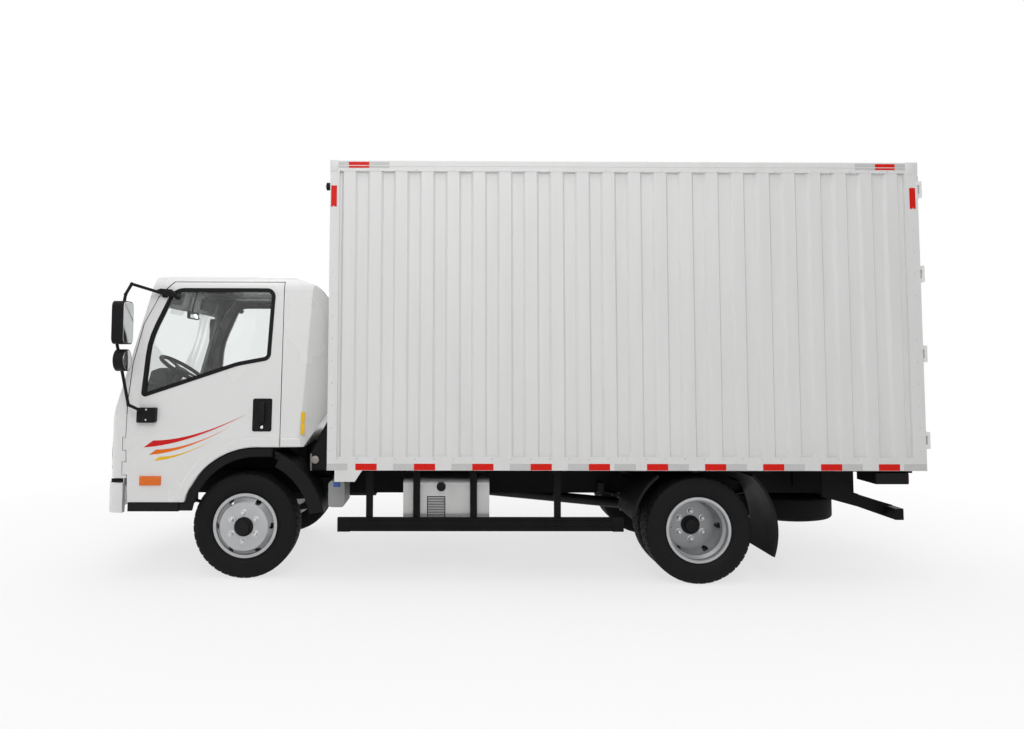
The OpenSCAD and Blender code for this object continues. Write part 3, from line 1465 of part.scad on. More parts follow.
module bumper_2d(d) rounded(inset(bumper_outline, d), less(bumper_radii, d));
module bumper_band(d, z0, z1) {
  translate([0, 0, z0]) linear_extrude(z1 - z0) difference() {
    bumper_2d(d);
    bumper_2d(d + bumper_wall);
    translate([-span, -span / 2]) square([span + bumper_rear_x, span]);
  }
}
module front_bumper() {
  color("white") at_front() {
    bumper_band(0, bumper_low_z, bumper_top_z);
    // Step over the bumper
    bumper_band(bumper_wall / 2, bumper_top_z - over, front_low_z - over);
    both_sides() {
      block([bumper_rear_x, bumper_arm_y, bumper_top_z - bumper_arm_w],
        [cab_front_x - cab_wall - over, bumper_arm_y + bumper_arm_w, foot_low_z - seam]);
      block([bumper_rear_x, bumper_arm_y, bumper_top_z - bumper_arm_w],
        [front_overhang - bumper_wall / 2, bumper_arm_y + bumper_arm_w, bumper_top_z - over]);
    }
  }
}
module headlamps() {
  color("#d8dde0") at_front() both_sides()
    translate([0, 0, lamp_low_z]) linear_extrude(lamp_top_z - lamp_low_z) lamp_2d(-roof_over, lamp_depth, 0);
}
module cab_glass() {
  color("#9fb0b8", 0.5) at_front() {
    on_screen() intersection() {
      translate([0, 0, -span / 2]) linear_extrude(span) difference() {
        screen_2d(glass_in);
        screen_2d(glass_in + glass_t);
      }
      sheet_x(-screen_cut, cab_wall) screen_hole_2d(seam);
    }
    intersection() {
      sheet_y(-cab_half_w, cab_half_w) difference() {
        side_2d(glass_in);
        side_2d(glass_in + glass_t);
      }
      sheet_x(-span / 2, cab_low_rear_x) rear_hole_2d(seam);
    }
  }
}

// Inside of the cab

inside_half_w = roof_half_w - door_gap;
dash_rear_x = 620;
dash_low_z = 1050;
dash_top_z = 1440;
// Outline of the dashboard: shares of its depth forward and of its height
dash_shares = [[0.25, 0], [1, 0], [1, 0.55], [0.8, 0.92], [0.68, 1], [0.34, 0.97], [0.08, 0.72], [0, 0.33]];
dash_radii = [20, 0, 0, 30, 40, 90, 60, 50];
binnacle_shares = [[0.25, 0.9], [0.66, 0.9], [0.58, 1.2], [0.4, 1.26], [0.28, 1.16]];
wheel_x = 640;
wheel_y = 450;
wheel_z = 1530;
column_r = 34;
column_l = 330;
shaft_r = 12;
hub_h = 44;
steering_hub_r = 62;
spoke_w = 34;
spoke_t = 14;
seat_w = 500;
bench_w = 900;
bench_y = -330;

module on_column() {
  translate([wheel_x, wheel_y, wheel_z]) rotate([0, -column_tilt, 0]) children();
}
binnacle_share = 0.33;
module dashboard() {
  corner = [dash_rear_x, dash_low_z];
  size = [cab_front_x - cab_wall - dash_rear_x + over, dash_top_z - dash_low_z];
  color("#2f3033") at_front() difference() {
    union() {
      intersection() {
        union() {
          sheet_y(-inside_half_w, inside_half_w) rounded(placed(dash_shares, corner, size), dash_radii);
          sheet_y(wheel_y - seat_w * binnacle_share, wheel_y + seat_w * binnacle_share)
            polygon(placed(binnacle_shares, corner, size));
        }
        cab_inside(cab_wall + seam);
      }
      on_column() rod_z(0, 0, column_r, -column_l, -hub_h);
    }
    on_column() rod_z(0, 0, shaft_r + run_gap, -column_l / 2 - over, 0);
  }
}
spoke_angles = [90, 210, 330];
module steering_wheel() {
  color("#1a1a1c") at_front() on_column() {
    rotate_extrude() translate([steering_r - steering_rim_r, 0]) circle(r = steering_rim_r);
    rod_z(0, 0, steering_hub_r, over - hub_h, 0);
    rod_z(0, 0, shaft_r, -column_l / 2, 0);
    for (a = spoke_angles)
      rotate([0, 0, a])
        translate([0, -spoke_w / 2, -spoke_t]) cube([steering_r - steering_rim_r, spoke_w, spoke_t]);
  }
}
// Seat in length and height: shares of its length from the rear and of its height
seat_l = 680;
seat_h = 800;
seat_rear_x = -335;
seat_shares = [[0.22, 0], [0.98, 0], [1, 0.16], [0.93, 0.2], [0.3, 0.17], [0.16, 1], [0, 1], [0.13, 0.12]];
seat_radii = [10, 30, 40, 40, 0, 40, 40, 30];
module seat(y, w) {
  translate([0, y, 0]) sheet_y(-w / 2, w / 2)
    rounded(placed(seat_shares, [seat_rear_x, platform_z + seam], [seat_l, seat_h]), seat_radii);
}
module seats() {
  color("#4c4f55") at_front() {
    seat(wheel_y, seat_w);
    seat(bench_y, bench_w);
  }
}

chassis_frame();
front_axle();
rear_axle();
leaf_springs();
engine_block();
propshaft();
fuel_tank();
urea_tank();
battery_box();
exhaust_canister();
side_guards();
front_mudguards();
rear_mudguards();
spare_wheel();
underrun_bar();
body_lamps();
box_floor();
box_side_left();
box_side_right();
box_front_wall();
box_roof();
box_rear_frame();
box_door_left();
box_door_right();
box_lock_left();
box_lock_right();
knuckle_left();
knuckle_right();
tie_rod();
wheel_front_left();
wheel_front_right();
tyre_front_left();
tyre_front_right();
wheel_rear_left();
wheel_rear_right();
tyre_rear_left();
tyre_rear_right();
cab_floor();
cab_rear();
cab_roof();
cab_front();
front_bumper();
headlamps();
cab_glass();
dashboard();
seats();
steering_wheel();
cab_door_left();
cab_door_right();
door_glass_left();
door_glass_right();
door_fittings_left();
door_fittings_right();
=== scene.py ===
"""Light cab-over box truck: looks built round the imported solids.

Places are written in millimetres from the front axle: x forward, y to the left, z up from the ground.
"""
import math

import bmesh
import bpy
from mathutils import Matrix, Vector


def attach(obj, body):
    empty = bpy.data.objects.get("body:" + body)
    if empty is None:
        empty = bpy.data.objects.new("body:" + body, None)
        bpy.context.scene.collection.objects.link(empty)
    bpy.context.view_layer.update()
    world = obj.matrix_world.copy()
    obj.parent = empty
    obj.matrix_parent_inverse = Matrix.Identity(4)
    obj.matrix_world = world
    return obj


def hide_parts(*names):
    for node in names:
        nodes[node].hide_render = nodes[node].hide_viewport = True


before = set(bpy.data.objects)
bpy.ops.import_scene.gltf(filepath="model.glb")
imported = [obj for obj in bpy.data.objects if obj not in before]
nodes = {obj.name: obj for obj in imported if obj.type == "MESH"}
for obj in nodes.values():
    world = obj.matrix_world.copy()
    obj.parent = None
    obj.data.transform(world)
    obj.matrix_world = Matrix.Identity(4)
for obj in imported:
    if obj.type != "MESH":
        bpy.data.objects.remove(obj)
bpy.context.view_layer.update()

MM_PER_M = 1000.0
FRONT_AXLE_X = 1950.5
REAR_AXLE_X = -3308.0
AXLE_Z = 383.5
BELT_Z = 1040.0
CAB_HALF_W = 955.0
SIDE_LEAN = 83.0 / 1196.0
BOX_HALF_W = 1125.0
SHARP_ANGLE = math.radians(40.0)
OUT = (0, 1, 0)
AHEAD = (1, 0, 0)
UP = (0, 0, 1)


def at(x, y, z):
    """A place in the frame's metres."""
    return Vector(((x + FRONT_AXLE_X) / MM_PER_M, y / MM_PER_M, z / MM_PER_M))


def skin_y(z):
    """Half width of the cab's side at a height: upright to the belt, then leaning in."""
    return CAB_HALF_W - max(0.0, z - BELT_Z) * SIDE_LEAN


def turn_to(axis):
    """A turn that takes +Z to an axis."""
    return Vector(UP).rotation_difference(Vector(axis)).to_matrix().to_4x4()


def bevelled(bm, edges, width, steps=2):
    """Rounds edges, where a width is given."""
    if width > 0:
        bmesh.ops.bevel(bm, geom=edges, offset=width / MM_PER_M, offset_type="OFFSET", affect="EDGES",
                        segments=steps, profile=0.5, material=-1, clamp_overlap=True)


def corners(along, across, up):
    """Low and high corner of a block from its three spans."""
    return tuple(zip(along, across, up))


def either_way(half):
    """The span from a distance right of the middle to the same distance left of it."""
    return -half, half


def add_box(bm, low, high, bevel=0.0, steps=2):
    """A box between two corners with rounded edges."""
    a, b = at(*low), at(*high)
    place = Matrix.Translation((a + b) / 2) @ Matrix.Diagonal((*(b - a), 1.0))
    made = bmesh.ops.create_cube(bm, size=1.0, matrix=place)
    edges = list({e for v in made["verts"] for e in v.link_edges})
    bevelled(bm, edges, bevel, steps)


def add_rod(bm, start, end, radius, sides=20, bevel=0.0, far_radius=None):
    """A round bar, or a cone when the far radius differs."""
    a, b = at(*start), at(*end)
    place = Matrix.Translation((a + b) / 2) @ turn_to(b - a)
    made = bmesh.ops.create_cone(bm, cap_ends=True, segments=sides, radius1=radius / MM_PER_M,
                                 radius2=(radius if far_radius is None else far_radius) / MM_PER_M,
                                 depth=(b - a).length, matrix=place)
    if bevel > 0:
        caps = {f for v in made["verts"] for f in v.link_faces if len(f.verts) == sides}
        bevelled(bm, list({e for f in caps for e in f.edges}), bevel)


def add_spun(bm, profile, centre, axis, sides=48, closed=False):
    """Turns a profile of (radius, distance along the axis) round an axis."""
    turn = turn_to(axis)
    move = Matrix.Translation(at(*centre)) @ turn
    verts = [bm.verts.new(move @ Vector((r / MM_PER_M, 0, h / MM_PER_M))) for r, h in profile]
    edges = [bm.edges.new(pair) for pair in zip(verts, verts[1:])]
    if closed:
        edges.append(bm.edges.new((verts[-1], verts[0])))
    before = set(bm.faces)
    bmesh.ops.spin(bm, geom=verts + edges, cent=at(*centre), axis=turn.to_3x3() @ Vector(UP),
                   angle=math.tau, steps=sides, use_merge=True)
    made = [f for f in bm.faces if f not in before]
    bmesh.ops.remove_doubles(bm, verts=list({v for f in made for v in f.verts}), dist=1e-6)
    return made


def add_plate(bm, outline, depth, bevel=0.0):
    """A flat outline of places, thickened by a vector in millimetres."""
    face = bm.faces.new([bm.verts.new(at(*p)) for p in outline])
    made = bmesh.ops.extrude_face_region(bm, geom=[face])
    verts = [g for g in made["geom"] if isinstance(g, bmesh.types.BMVert)]
    bmesh.ops.translate(bm, verts=verts, vec=Vector(depth) / MM_PER_M)
    if bevel > 0:
        lid = [g for g in made["geom"] if isinstance(g, bmesh.types.BMFace)]
        bevelled(bm, list({e for f in lid for e in f.edges}), bevel, 1)


def add_tube(bm, places, radius, sides=12):
    """A round tube through places, mitred at each bend."""
    points = [at(*p) for p in places]
    ring = None
    for i, point in enumerate(points):
        into = (point - points[i - 1]).normalized() if i else (points[1] - point).normalized()
        out = (points[i + 1] - point).normalized() if i + 1 < len(points) else into
        along = (into + out).normalized()
        if ring is None:
            made = bmesh.ops.create_circle(bm, cap_ends=True, segments=sides, radius=radius / MM_PER_M,
                                           matrix=Matrix.Translation(point) @ turn_to(along))
            ring = made["verts"]
            edges = list({e for v in ring for e in v.link_edges})
            last = along
            continue
        grown = bmesh.ops.extrude_edge_only(bm, edges=edges)["geom"]
        ring = [g for g in grown if isinstance(g, bmesh.types.BMVert)]
        edges = [g for g in grown if isinstance(g, bmesh.types.BMEdge) and all(v in ring for v in g.verts)]
        turn = last.rotation_difference(along).to_matrix().to_4x4()
        bmesh.ops.transform(bm, verts=ring, space=Matrix.Translation(-points[i - 1]), matrix=turn)
        bmesh.ops.translate(bm, verts=ring, vec=point - points[i - 1])
        last = along
    bmesh.ops.edgeloop_fill(bm, edges=edges)


def both_sides(bm):
    """Adds the mirror image on the right side of the truck."""
    made = bmesh.ops.duplicate(bm, geom=bm.verts[:] + bm.edges[:] + bm.faces[:])
    verts = [g for g in made["geom"] if isinstance(g, bmesh.types.BMVert)]
    faces = [g for g in made["geom"] if isinstance(g, bmesh.types.BMFace)]
    bmesh.ops.scale(bm, verts=verts, vec=(1, -1, 1))
    bmesh.ops.reverse_faces(bm, faces=faces)


def mirrored(bm):
    """A copy of a bmesh on the other side of the truck."""
    copy = bm.copy()
    bmesh.ops.scale(copy, verts=copy.verts, vec=(1, -1, 1))
    bmesh.ops.reverse_faces(copy, faces=copy.faces)
    return copy


def piece(name, bm, body, material, smooth=True, replaces=()):
    """Finishes a bmesh as a piece of the truck that rides on a body."""
    bmesh.ops.recalc_face_normals(bm, faces=bm.faces)
    mesh = bpy.data.meshes.new(name)
    bm.to_mesh(mesh)
    bm.free()
    mesh.materials.append(material)
    if smooth:
        mesh.shade_smooth()
        mesh.set_sharp_from_angle(angle=SHARP_ANGLE)
    made = bpy.data.objects.new(name, mesh)
    bpy.context.scene.collection.objects.link(made)
    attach(made, body)
    if replaces:
        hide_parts(*replaces)
    return made


def left_and_right(name, bm, bodies, material, smooth=True, replaces=((), ())):
    """The same piece on a left body and, mirrored, on a right body."""
    other = mirrored(bm)
    piece(name + "_left", bm, bodies[0], material, smooth, replaces[0])
    piece(name + "_right", other, bodies[1], material, smooth, replaces[1])


# Materials: every finish reads the object's own coordinates

NOISE_SPAN = (0.3, 0.7)


def link(tree, source, target):
    tree.links.new(source, target)


def mapped(tree, scale=(1, 1, 1), turn=(0, 0, 0)):
    """Object coordinates, stretched and turned."""
    coords = tree.nodes.new("ShaderNodeTexCoord")
    mapping = tree.nodes.new("ShaderNodeMapping")
    mapping.inputs["Scale"].default_value = scale
    mapping.inputs["Rotation"].default_value = turn
    link(tree, coords.outputs["Object"], mapping.inputs["Vector"])
    return mapping.outputs["Vector"]


def height(tree):
    """Height above the ground, in metres."""
    parts = tree.nodes.new("ShaderNodeSeparateXYZ")
    link(tree, mapped(tree), parts.inputs[0])
    return parts.outputs["Z"]


def noise(tree, vector, scale, detail=5.0, rough=0.55):
    """Soft clouds, most of them within NOISE_SPAN."""
    made = tree.nodes.new("ShaderNodeTexNoise")
    made.inputs["Scale"].default_value = scale
    made.inputs["Detail"].default_value = detail
    made.inputs["Roughness"].default_value = rough
    link(tree, vector, made.inputs["Vector"])
    return made.outputs["Fac"]


def ranged(tree, value, low, high, to_low, to_high):
    """A value carried from one span to another, and held at its ends."""
    made = tree.nodes.new("ShaderNodeMapRange")
    for name, number in zip(("From Min", "From Max", "To Min", "To Max"), (low, high, to_low, to_high)):
        made.inputs[name].default_value = number
    link(tree, value, made.inputs["Value"])
    return made.outputs["Result"]


def joined(tree, operation, a, b):
    """Two values joined by an arithmetic operation."""
    made = tree.nodes.new("ShaderNodeMath")
    made.operation = operation
    link(tree, a, made.inputs[0])
    link(tree, b, made.inputs[1])
    return made.outputs[0]


def times(tree, a, b):
    return joined(tree, "MULTIPLY", a, b)


def mixed(tree, factor, a, b):
    """Mix of two colours, each a tuple or a socket."""
    made = tree.nodes.new("ShaderNodeMix")
    made.data_type = "RGBA"
    link(tree, factor, made.inputs[0])
    for socket, colour in ((made.inputs[6], a), (made.inputs[7], b)):
        if isinstance(colour, tuple):
            socket.default_value = (*colour, 1.0)
        else:
            link(tree, colour, socket)
    return made.outputs[2]


def bumped(tree, shader, relief, strength, distance):
    """A fine relief on a finish."""
    made = tree.nodes.new("ShaderNodeBump")
    made.inputs["Strength"].default_value = strength
    made.inputs["Distance"].default_value = distance
    link(tree, relief, made.inputs["Height"])
    link(tree, made.outputs["Normal"], shader.inputs["Normal"])


def toned(colour, share):
    """A lighter or darker shade of a colour."""
    return tuple(min(1.0, c * share) for c in colour)


def begun(name):
    """A new material with its node tree and shader."""
    material = bpy.data.materials.new(name)
    material.use_nodes = True
    tree = material.node_tree
    return material, tree, tree.nodes["Principled BSDF"]


def surface(name, colour, rough, metal=0.0, spread=0.05, patch=2.5, stretch=(1, 1, 1), grain=220.0,
            bump=0.08, depth=0.0006, coat=0.0, dirt=None, dirt_z=(0.9, 0.3), dirt_amount=0.5, shine=0.5):
    """A finish with patches of lighter and darker colour, uneven gloss, a fine grain and dirt low down."""
    material, tree, shader = begun(name)
    vector = mapped(tree, stretch)
    cloud = noise(tree, vector, patch)
    dark, light = toned(colour, 1.0 - spread), toned(colour, 1.0 + spread)
    base = mixed(tree, ranged(tree, cloud, *NOISE_SPAN, 0.0, 1.0), dark, light)
    if dirt:
        low = ranged(tree, height(tree), *dirt_z, 0.0, dirt_amount)
        spots = ranged(tree, noise(tree, mapped(tree), 9.0, 8.0, 0.7), 0.35, 0.75, 0.2, 1.0)
        base = mixed(tree, times(tree, low, spots), base, dirt)
    link(tree, base, shader.inputs["Base Color"])
    fine = noise(tree, vector, grain, 3.0)
    gloss = ranged(tree, cloud, 0.25, 0.75, max(0.02, rough - 0.07), rough + 0.07)
    link(tree, gloss, shader.inputs["Roughness"])
    shader.inputs["Metallic"].default_value = metal
    shader.inputs["Specular IOR Level"].default_value = shine
    shader.inputs["Coat Weight"].default_value = coat
    shader.inputs["Coat Roughness"].default_value = 0.08
    bumped(tree, shader, fine, bump, depth)
    return material


def darken_inside(material, centre, foot_z, colour):
    """Gives a shell a darker colour, without coat, on faces that look towards its middle, above a height."""
    tree = material.node_tree
    shader = tree.nodes["Principled BSDF"]
    coords = tree.nodes.new("ShaderNodeTexCoord")
    away = tree.nodes.new("ShaderNodeVectorMath")
    away.operation = "SUBTRACT"
    away.inputs[1].default_value = centre
    link(tree, coords.outputs["Object"], away.inputs[0])
    facing = tree.nodes.new("ShaderNodeVectorMath")
    facing.operation = "DOT_PRODUCT"
    link(tree, away.outputs["Vector"], facing.inputs[0])
    link(tree, coords.outputs["Normal"], facing.inputs[1])
    inward_dark = times(tree, ranged(tree, facing.outputs["Value"], -0.1, -0.2, 0.0, 1.0),
                  ranged(tree, height(tree), foot_z, foot_z + 0.01, 0.0, 1.0))
    paint = shader.inputs["Base Color"].links[0].from_socket
    link(tree, mixed(tree, inward_dark, paint, colour), shader.inputs["Base Color"])
    coat = shader.inputs["Coat Weight"]
    link(tree, ranged(tree, inward_dark, 0.0, 1.0, coat.default_value, 0.0), coat)


def clear_glass(name, tint):
    """Clear glass with faint smears."""
    material, tree, shader = begun(name)
    smear = noise(tree, mapped(tree), 3.0)
    link(tree, mixed(tree, smear, toned(tint, 0.96), tint), shader.inputs["Base Color"])
    link(tree, ranged(tree, smear, *NOISE_SPAN, 0.01, 0.04), shader.inputs["Roughness"])
    shader.inputs["Transmission Weight"].default_value = 1.0
    shader.inputs["IOR"].default_value = 1.45
    bumped(tree, shader, noise(tree, mapped(tree), 2.0, 1.0), 0.02, 0.001)
    return material


LENS_FLUTES = 140.0


def lens(name, colour):
    """Coloured lamp plastic with fine flutes."""
    material, tree, shader = begun(name)
    wave = tree.nodes.new("ShaderNodeTexWave")
    wave.bands_direction = "X"
    wave.inputs["Scale"].default_value = LENS_FLUTES
    link(tree, mapped(tree), wave.inputs["Vector"])
    cloud = noise(tree, mapped(tree), 14.0)
    shade = mixed(tree, wave.outputs["Fac"], toned(colour, 0.72), colour)
    link(tree, shade, shader.inputs["Base Color"])
    link(tree, ranged(tree, cloud, *NOISE_SPAN, 0.084, 0.168), shader.inputs["Roughness"])
    shader.inputs["Specular IOR Level"].default_value = 0.25
    shader.inputs["Coat Weight"].default_value = 0.2
    shader.inputs["Coat Roughness"].default_value = 0.05
    bumped(tree, shader, wave.outputs["Fac"], 0.35, 0.001)
    return material


TAPE_CELLS = 170.0


def reflective(name, colour):
    """Reflective tape with a mesh of small cells."""
    material, tree, shader = begun(name)
    cells = tree.nodes.new("ShaderNodeTexVoronoi")
    cells.feature = "DISTANCE_TO_EDGE"
    cells.inputs["Scale"].default_value = TAPE_CELLS
    cells.inputs["Randomness"].default_value = 0.15
    link(tree, mapped(tree), cells.inputs["Vector"])
    edge = ranged(tree, cells.outputs["Distance"], 0.02, 0.12, 0.0, 1.0)
    link(tree, mixed(tree, edge, toned(colour, 0.86), colour), shader.inputs["Base Color"])
    gloss = ranged(tree, noise(tree, mapped(tree), 25.0), *NOISE_SPAN, 0.28, 0.42)
    link(tree, gloss, shader.inputs["Roughness"])
    shader.inputs["Specular IOR Level"].default_value = 0.15
    bumped(tree, shader, edge, 0.2, 0.0004)
    return material


SEAT_THREADS = 420.0


def woven(name, colour):
    """Seat cloth: crossed threads with a soft sheen."""
    material, tree, shader = begun(name)
    threads = []
    for axis in "XY":
        wave = tree.nodes.new("ShaderNodeTexWave")
        wave.bands_direction = axis
        wave.inputs["Scale"].default_value = SEAT_THREADS
        wave.inputs["Distortion"].default_value = 0.6
        link(tree, mapped(tree, turn=(0.5, 0.3, 0.2)), wave.inputs["Vector"])
        threads.append(wave.outputs["Fac"])
    weave = times(tree, *threads)
    cloud = noise(tree, mapped(tree), 5.0)
    base = mixed(tree, weave, toned(colour, 0.6), colour)
    worn = ranged(tree, cloud, 0.3, 0.8, 0.0, 0.35)
    link(tree, mixed(tree, worn, base, toned(colour, 1.5)), shader.inputs["Base Color"])
    link(tree, ranged(tree, cloud, *NOISE_SPAN, 0.82, 0.95), shader.inputs["Roughness"])
    shader.inputs["Sheen Weight"].default_value = 0.35
    bumped(tree, shader, weave, 0.5, 0.0008)
    return material


PLY_DARK = (0.19, 0.125, 0.075)
PLY_LIGHT = (0.42, 0.3, 0.19)
BEARER_BLACK = (0.008, 0.008, 0.009)


def plywood(name, board_z):
    """Ply boards above a height, painted bearers under it."""
    material, tree, shader = begun(name)
    grain = noise(tree, mapped(tree, (1.2, 22.0, 8.0)), 3.0, 9.0, 0.65)
    base = mixed(tree, ranged(tree, grain, 0.3, 0.72, 0.0, 1.0), PLY_DARK, PLY_LIGHT)
    below = ranged(tree, height(tree), board_z - 0.0005, board_z + 0.0005, 1.0, 0.0)
    link(tree, mixed(tree, below, base, BEARER_BLACK), shader.inputs["Base Color"])
    link(tree, ranged(tree, below, 0.0, 1.0, 0.4, 0.1), shader.inputs["Specular IOR Level"])
    link(tree, ranged(tree, grain, *NOISE_SPAN, 0.55, 0.75), shader.inputs["Roughness"])
    bumped(tree, shader, grain, 0.25, 0.0008)
    return material


ZINC_CRYSTALS = 90.0


def spangled(name, colour, rough):
    """Zinc-coated steel with crystals of slightly different grey."""
    material, tree, shader = begun(name)
    cells = tree.nodes.new("ShaderNodeTexVoronoi")
    cells.inputs["Scale"].default_value = ZINC_CRYSTALS
    link(tree, mapped(tree), cells.inputs["Vector"])
    tone = tree.nodes.new("ShaderNodeRGBToBW")
    link(tree, cells.outputs["Color"], tone.inputs[0])
    shade = mixed(tree, tone.outputs[0], toned(colour, 0.82), toned(colour, 1.12))
    link(tree, shade, shader.inputs["Base Color"])
    gloss = ranged(tree, tone.outputs[0], 0.0, 1.0, rough - 0.08, rough + 0.1)
    link(tree, gloss, shader.inputs["Roughness"])
    shader.inputs["Metallic"].default_value = 0.85
    bumped(tree, shader, noise(tree, mapped(tree), 160.0), 0.06, 0.0005)
    return material


ROAD_DUST = (0.33, 0.3, 0.27)
WHEEL_DUST = (0.2, 0.18, 0.16)
CAB_MIDDLE = (250, 0, 1550)
# Dark colour for the cab shell's faces that look towards its middle, above a height
CAB_INSIDE_DARK = (0.06, 0.062, 0.064)
# Heights for materials are in metres
INSIDE_DARK_FOOT_Z = 1.2
LOAD_BOARD_Z = 0.861
cab_paint = surface("cab_paint", (0.79, 0.79, 0.785), 0.26, spread=0.015, patch=1.4, grain=420.0,
                    bump=0.025, coat=0.55, dirt=(0.55, 0.53, 0.5), dirt_z=(0.95, 0.45), dirt_amount=0.08)
box_paint = surface("box_paint", (0.77, 0.77, 0.765), 0.42, spread=0.022, patch=1.6, stretch=(6, 6, 0.6),
                    grain=260.0, bump=0.04, dirt=(0.52, 0.5, 0.47), dirt_z=(1.15, 0.75), dirt_amount=0.2,
                    shine=0.3)
chassis_black = surface("chassis_black", (0.005, 0.005, 0.0055), 0.42, spread=0.3, patch=6.0, grain=300.0,
                        bump=0.12, dirt=ROAD_DUST, dirt_z=(0.95, 0.2), dirt_amount=0.015, shine=0.08)
iron = surface("iron", (0.03, 0.03, 0.032), 0.62, metal=0.3, spread=0.25, patch=9.0, grain=180.0,
               bump=0.3, depth=0.001, dirt=ROAD_DUST, dirt_z=(0.9, 0.2), dirt_amount=0.08, shine=0.15)
spring_steel = surface("spring_steel", (0.018, 0.018, 0.019), 0.5, metal=0.4, spread=0.3, patch=7.0,
                       stretch=(1, 8, 8), bump=0.15, dirt=ROAD_DUST, dirt_z=(0.9, 0.2), dirt_amount=0.06,
                       shine=0.15)
tank_paint = surface("tank_paint", (0.6, 0.6, 0.595), 0.4, metal=0.1, spread=0.08, patch=4.0, bump=0.06,
                     coat=0.15, dirt=ROAD_DUST, dirt_z=(0.65, 0.42), dirt_amount=0.15)
urea_plastic = surface("urea_plastic", (0.34, 0.345, 0.35), 0.5, spread=0.08, patch=5.0, grain=500.0,
                       bump=0.2, dirt=ROAD_DUST, dirt_z=(0.75, 0.45), dirt_amount=0.2)
black_plastic = surface("black_plastic", (0.009, 0.009, 0.01), 0.5, spread=0.2, patch=4.0, grain=900.0,
                        bump=0.3, depth=0.0004, dirt=ROAD_DUST, dirt_z=(0.7, 0.2), dirt_amount=0.03,
                        shine=0.12)
pipe_steel = surface("pipe_steel", (0.26, 0.235, 0.215), 0.45, metal=0.8, spread=0.25, patch=8.0,
                     stretch=(1, 6, 6), bump=0.15)
tyre_rubber = surface("tyre_rubber", (0.007, 0.007, 0.0073), 0.68, spread=0.25, patch=6.0, grain=600.0,
                      bump=0.35, depth=0.0006, dirt=ROAD_DUST, dirt_z=(0.35, 0.0), dirt_amount=0.015,
                      shine=0.14)
spare_rubber = surface("spare_rubber", (0.011, 0.011, 0.0115), 0.75, spread=0.3, patch=5.0, grain=500.0,
                       bump=0.35, dirt=ROAD_DUST, dirt_z=(0.6, 0.2), dirt_amount=0.05, shine=0.1)
wheel_silver = surface("wheel_silver", (0.47, 0.475, 0.485), 0.34, metal=0.55, spread=0.07, patch=9.0,
                       grain=700.0, bump=0.05, coat=0.25, dirt=WHEEL_DUST, dirt_z=(0.62, 0.1),
                       dirt_amount=0.12)
wheel_grey = surface("wheel_grey", (0.33, 0.34, 0.35), 0.42, metal=0.45, spread=0.1, patch=9.0,
                     grain=700.0, bump=0.07, coat=0.1, dirt=WHEEL_DUST, dirt_z=(0.62, 0.1),
                     dirt_amount=0.2)
cab_trim = surface("cab_trim", (0.06, 0.062, 0.066), 0.62, spread=0.1, patch=3.0, grain=1100.0, bump=0.35,
                   depth=0.0004)
seal_rubber = surface("seal_rubber", (0.007, 0.007, 0.0075), 0.58, spread=0.2, patch=6.0, grain=500.0,
                      bump=0.12, shine=0.12)
chrome = surface("chrome", (0.72, 0.73, 0.74), 0.1, metal=1.0, spread=0.04, patch=8.0, bump=0.02)
mirror_glass = surface("mirror_glass", (0.75, 0.77, 0.78), 0.04, metal=1.0, spread=0.02, patch=2.0,
                       bump=0.005)
blue_plastic = surface("blue_plastic", (0.03, 0.12, 0.45), 0.4, spread=0.1, patch=12.0, grain=700.0,
                       bump=0.15)
plate_white = surface("plate_white", (0.72, 0.72, 0.7), 0.4, spread=0.02, patch=6.0, bump=0.04)
stripe_red, stripe_orange, stripe_yellow = (
    surface(name, colour, 0.3, spread=0.05, patch=6.0, bump=0.03, shine=0.2)
    for name, colour in (("stripe_red", (0.66, 0.012, 0.012)), ("stripe_orange", (0.85, 0.17, 0.01)),
                         ("stripe_yellow", (0.88, 0.52, 0.015))))
# The cab's paint turns dark on faces that look towards the cab's middle, above 1.2 m
darken_inside(cab_paint, at(*CAB_MIDDLE), INSIDE_DARK_FOOT_Z, CAB_INSIDE_DARK)
window_glass = clear_glass("window_glass", (0.925, 0.945, 0.942))
lamp_clear = clear_glass("lamp_clear", (0.95, 0.97, 0.98))
lamp_red = lens("lamp_red", (0.5, 0.02, 0.02))
lamp_amber = lens("lamp_amber", (0.95, 0.19, 0.01))
lamp_white = lens("lamp_white", (0.75, 0.76, 0.76))
tape_red = reflective("tape_red", (0.74, 0.014, 0.008))
tape_pale = reflective("tape_pale", (0.62, 0.62, 0.615))
seat_cloth = woven("seat_cloth", (0.1, 0.105, 0.115))
load_wood = plywood("load_wood", LOAD_BOARD_Z)
lock_zinc = spangled("lock_zinc", (0.6, 0.61, 0.62), 0.35)

node_finish = {
    cab_paint: ("cab_rear", "cab_roof", "cab_front", "front_bumper", "cab_door_left", "cab_door_right"),
    box_paint: ("box_side_left", "box_side_right", "box_front_wall", "box_roof", "box_rear_frame",
                "box_door_left", "box_door_right"),
    chassis_black: ("chassis_frame", "rear_axle", "side_guards", "underrun_bar"),
    iron: ("front_axle", "engine_block", "knuckle_left", "knuckle_right"),
    spring_steel: ("leaf_springs", "propshaft", "tie_rod"),
    tank_paint: ("fuel_tank",),
    urea_plastic: ("urea_tank",),
    black_plastic: ("cab_floor", "battery_box", "front_mudguards", "rear_mudguards", "steering_wheel",
                    "door_fittings_left", "door_fittings_right", "body_lamps"),
    pipe_steel: ("exhaust_canister",),
    spare_rubber: ("spare_wheel",),
    tyre_rubber: ("tyre_front_left", "tyre_front_right", "tyre_rear_left", "tyre_rear_right"),
    wheel_silver: ("wheel_front_left", "wheel_front_right"),
    wheel_grey: ("wheel_rear_left", "wheel_rear_right"),
    cab_trim: ("dashboard",),
    lamp_clear: ("headlamps",),
    window_glass: ("cab_glass", "door_glass_left", "door_glass_right"),
    seat_cloth: ("seats",),
    load_wood: ("box_floor",),
    lock_zinc: ("box_lock_left", "box_lock_right"),
}
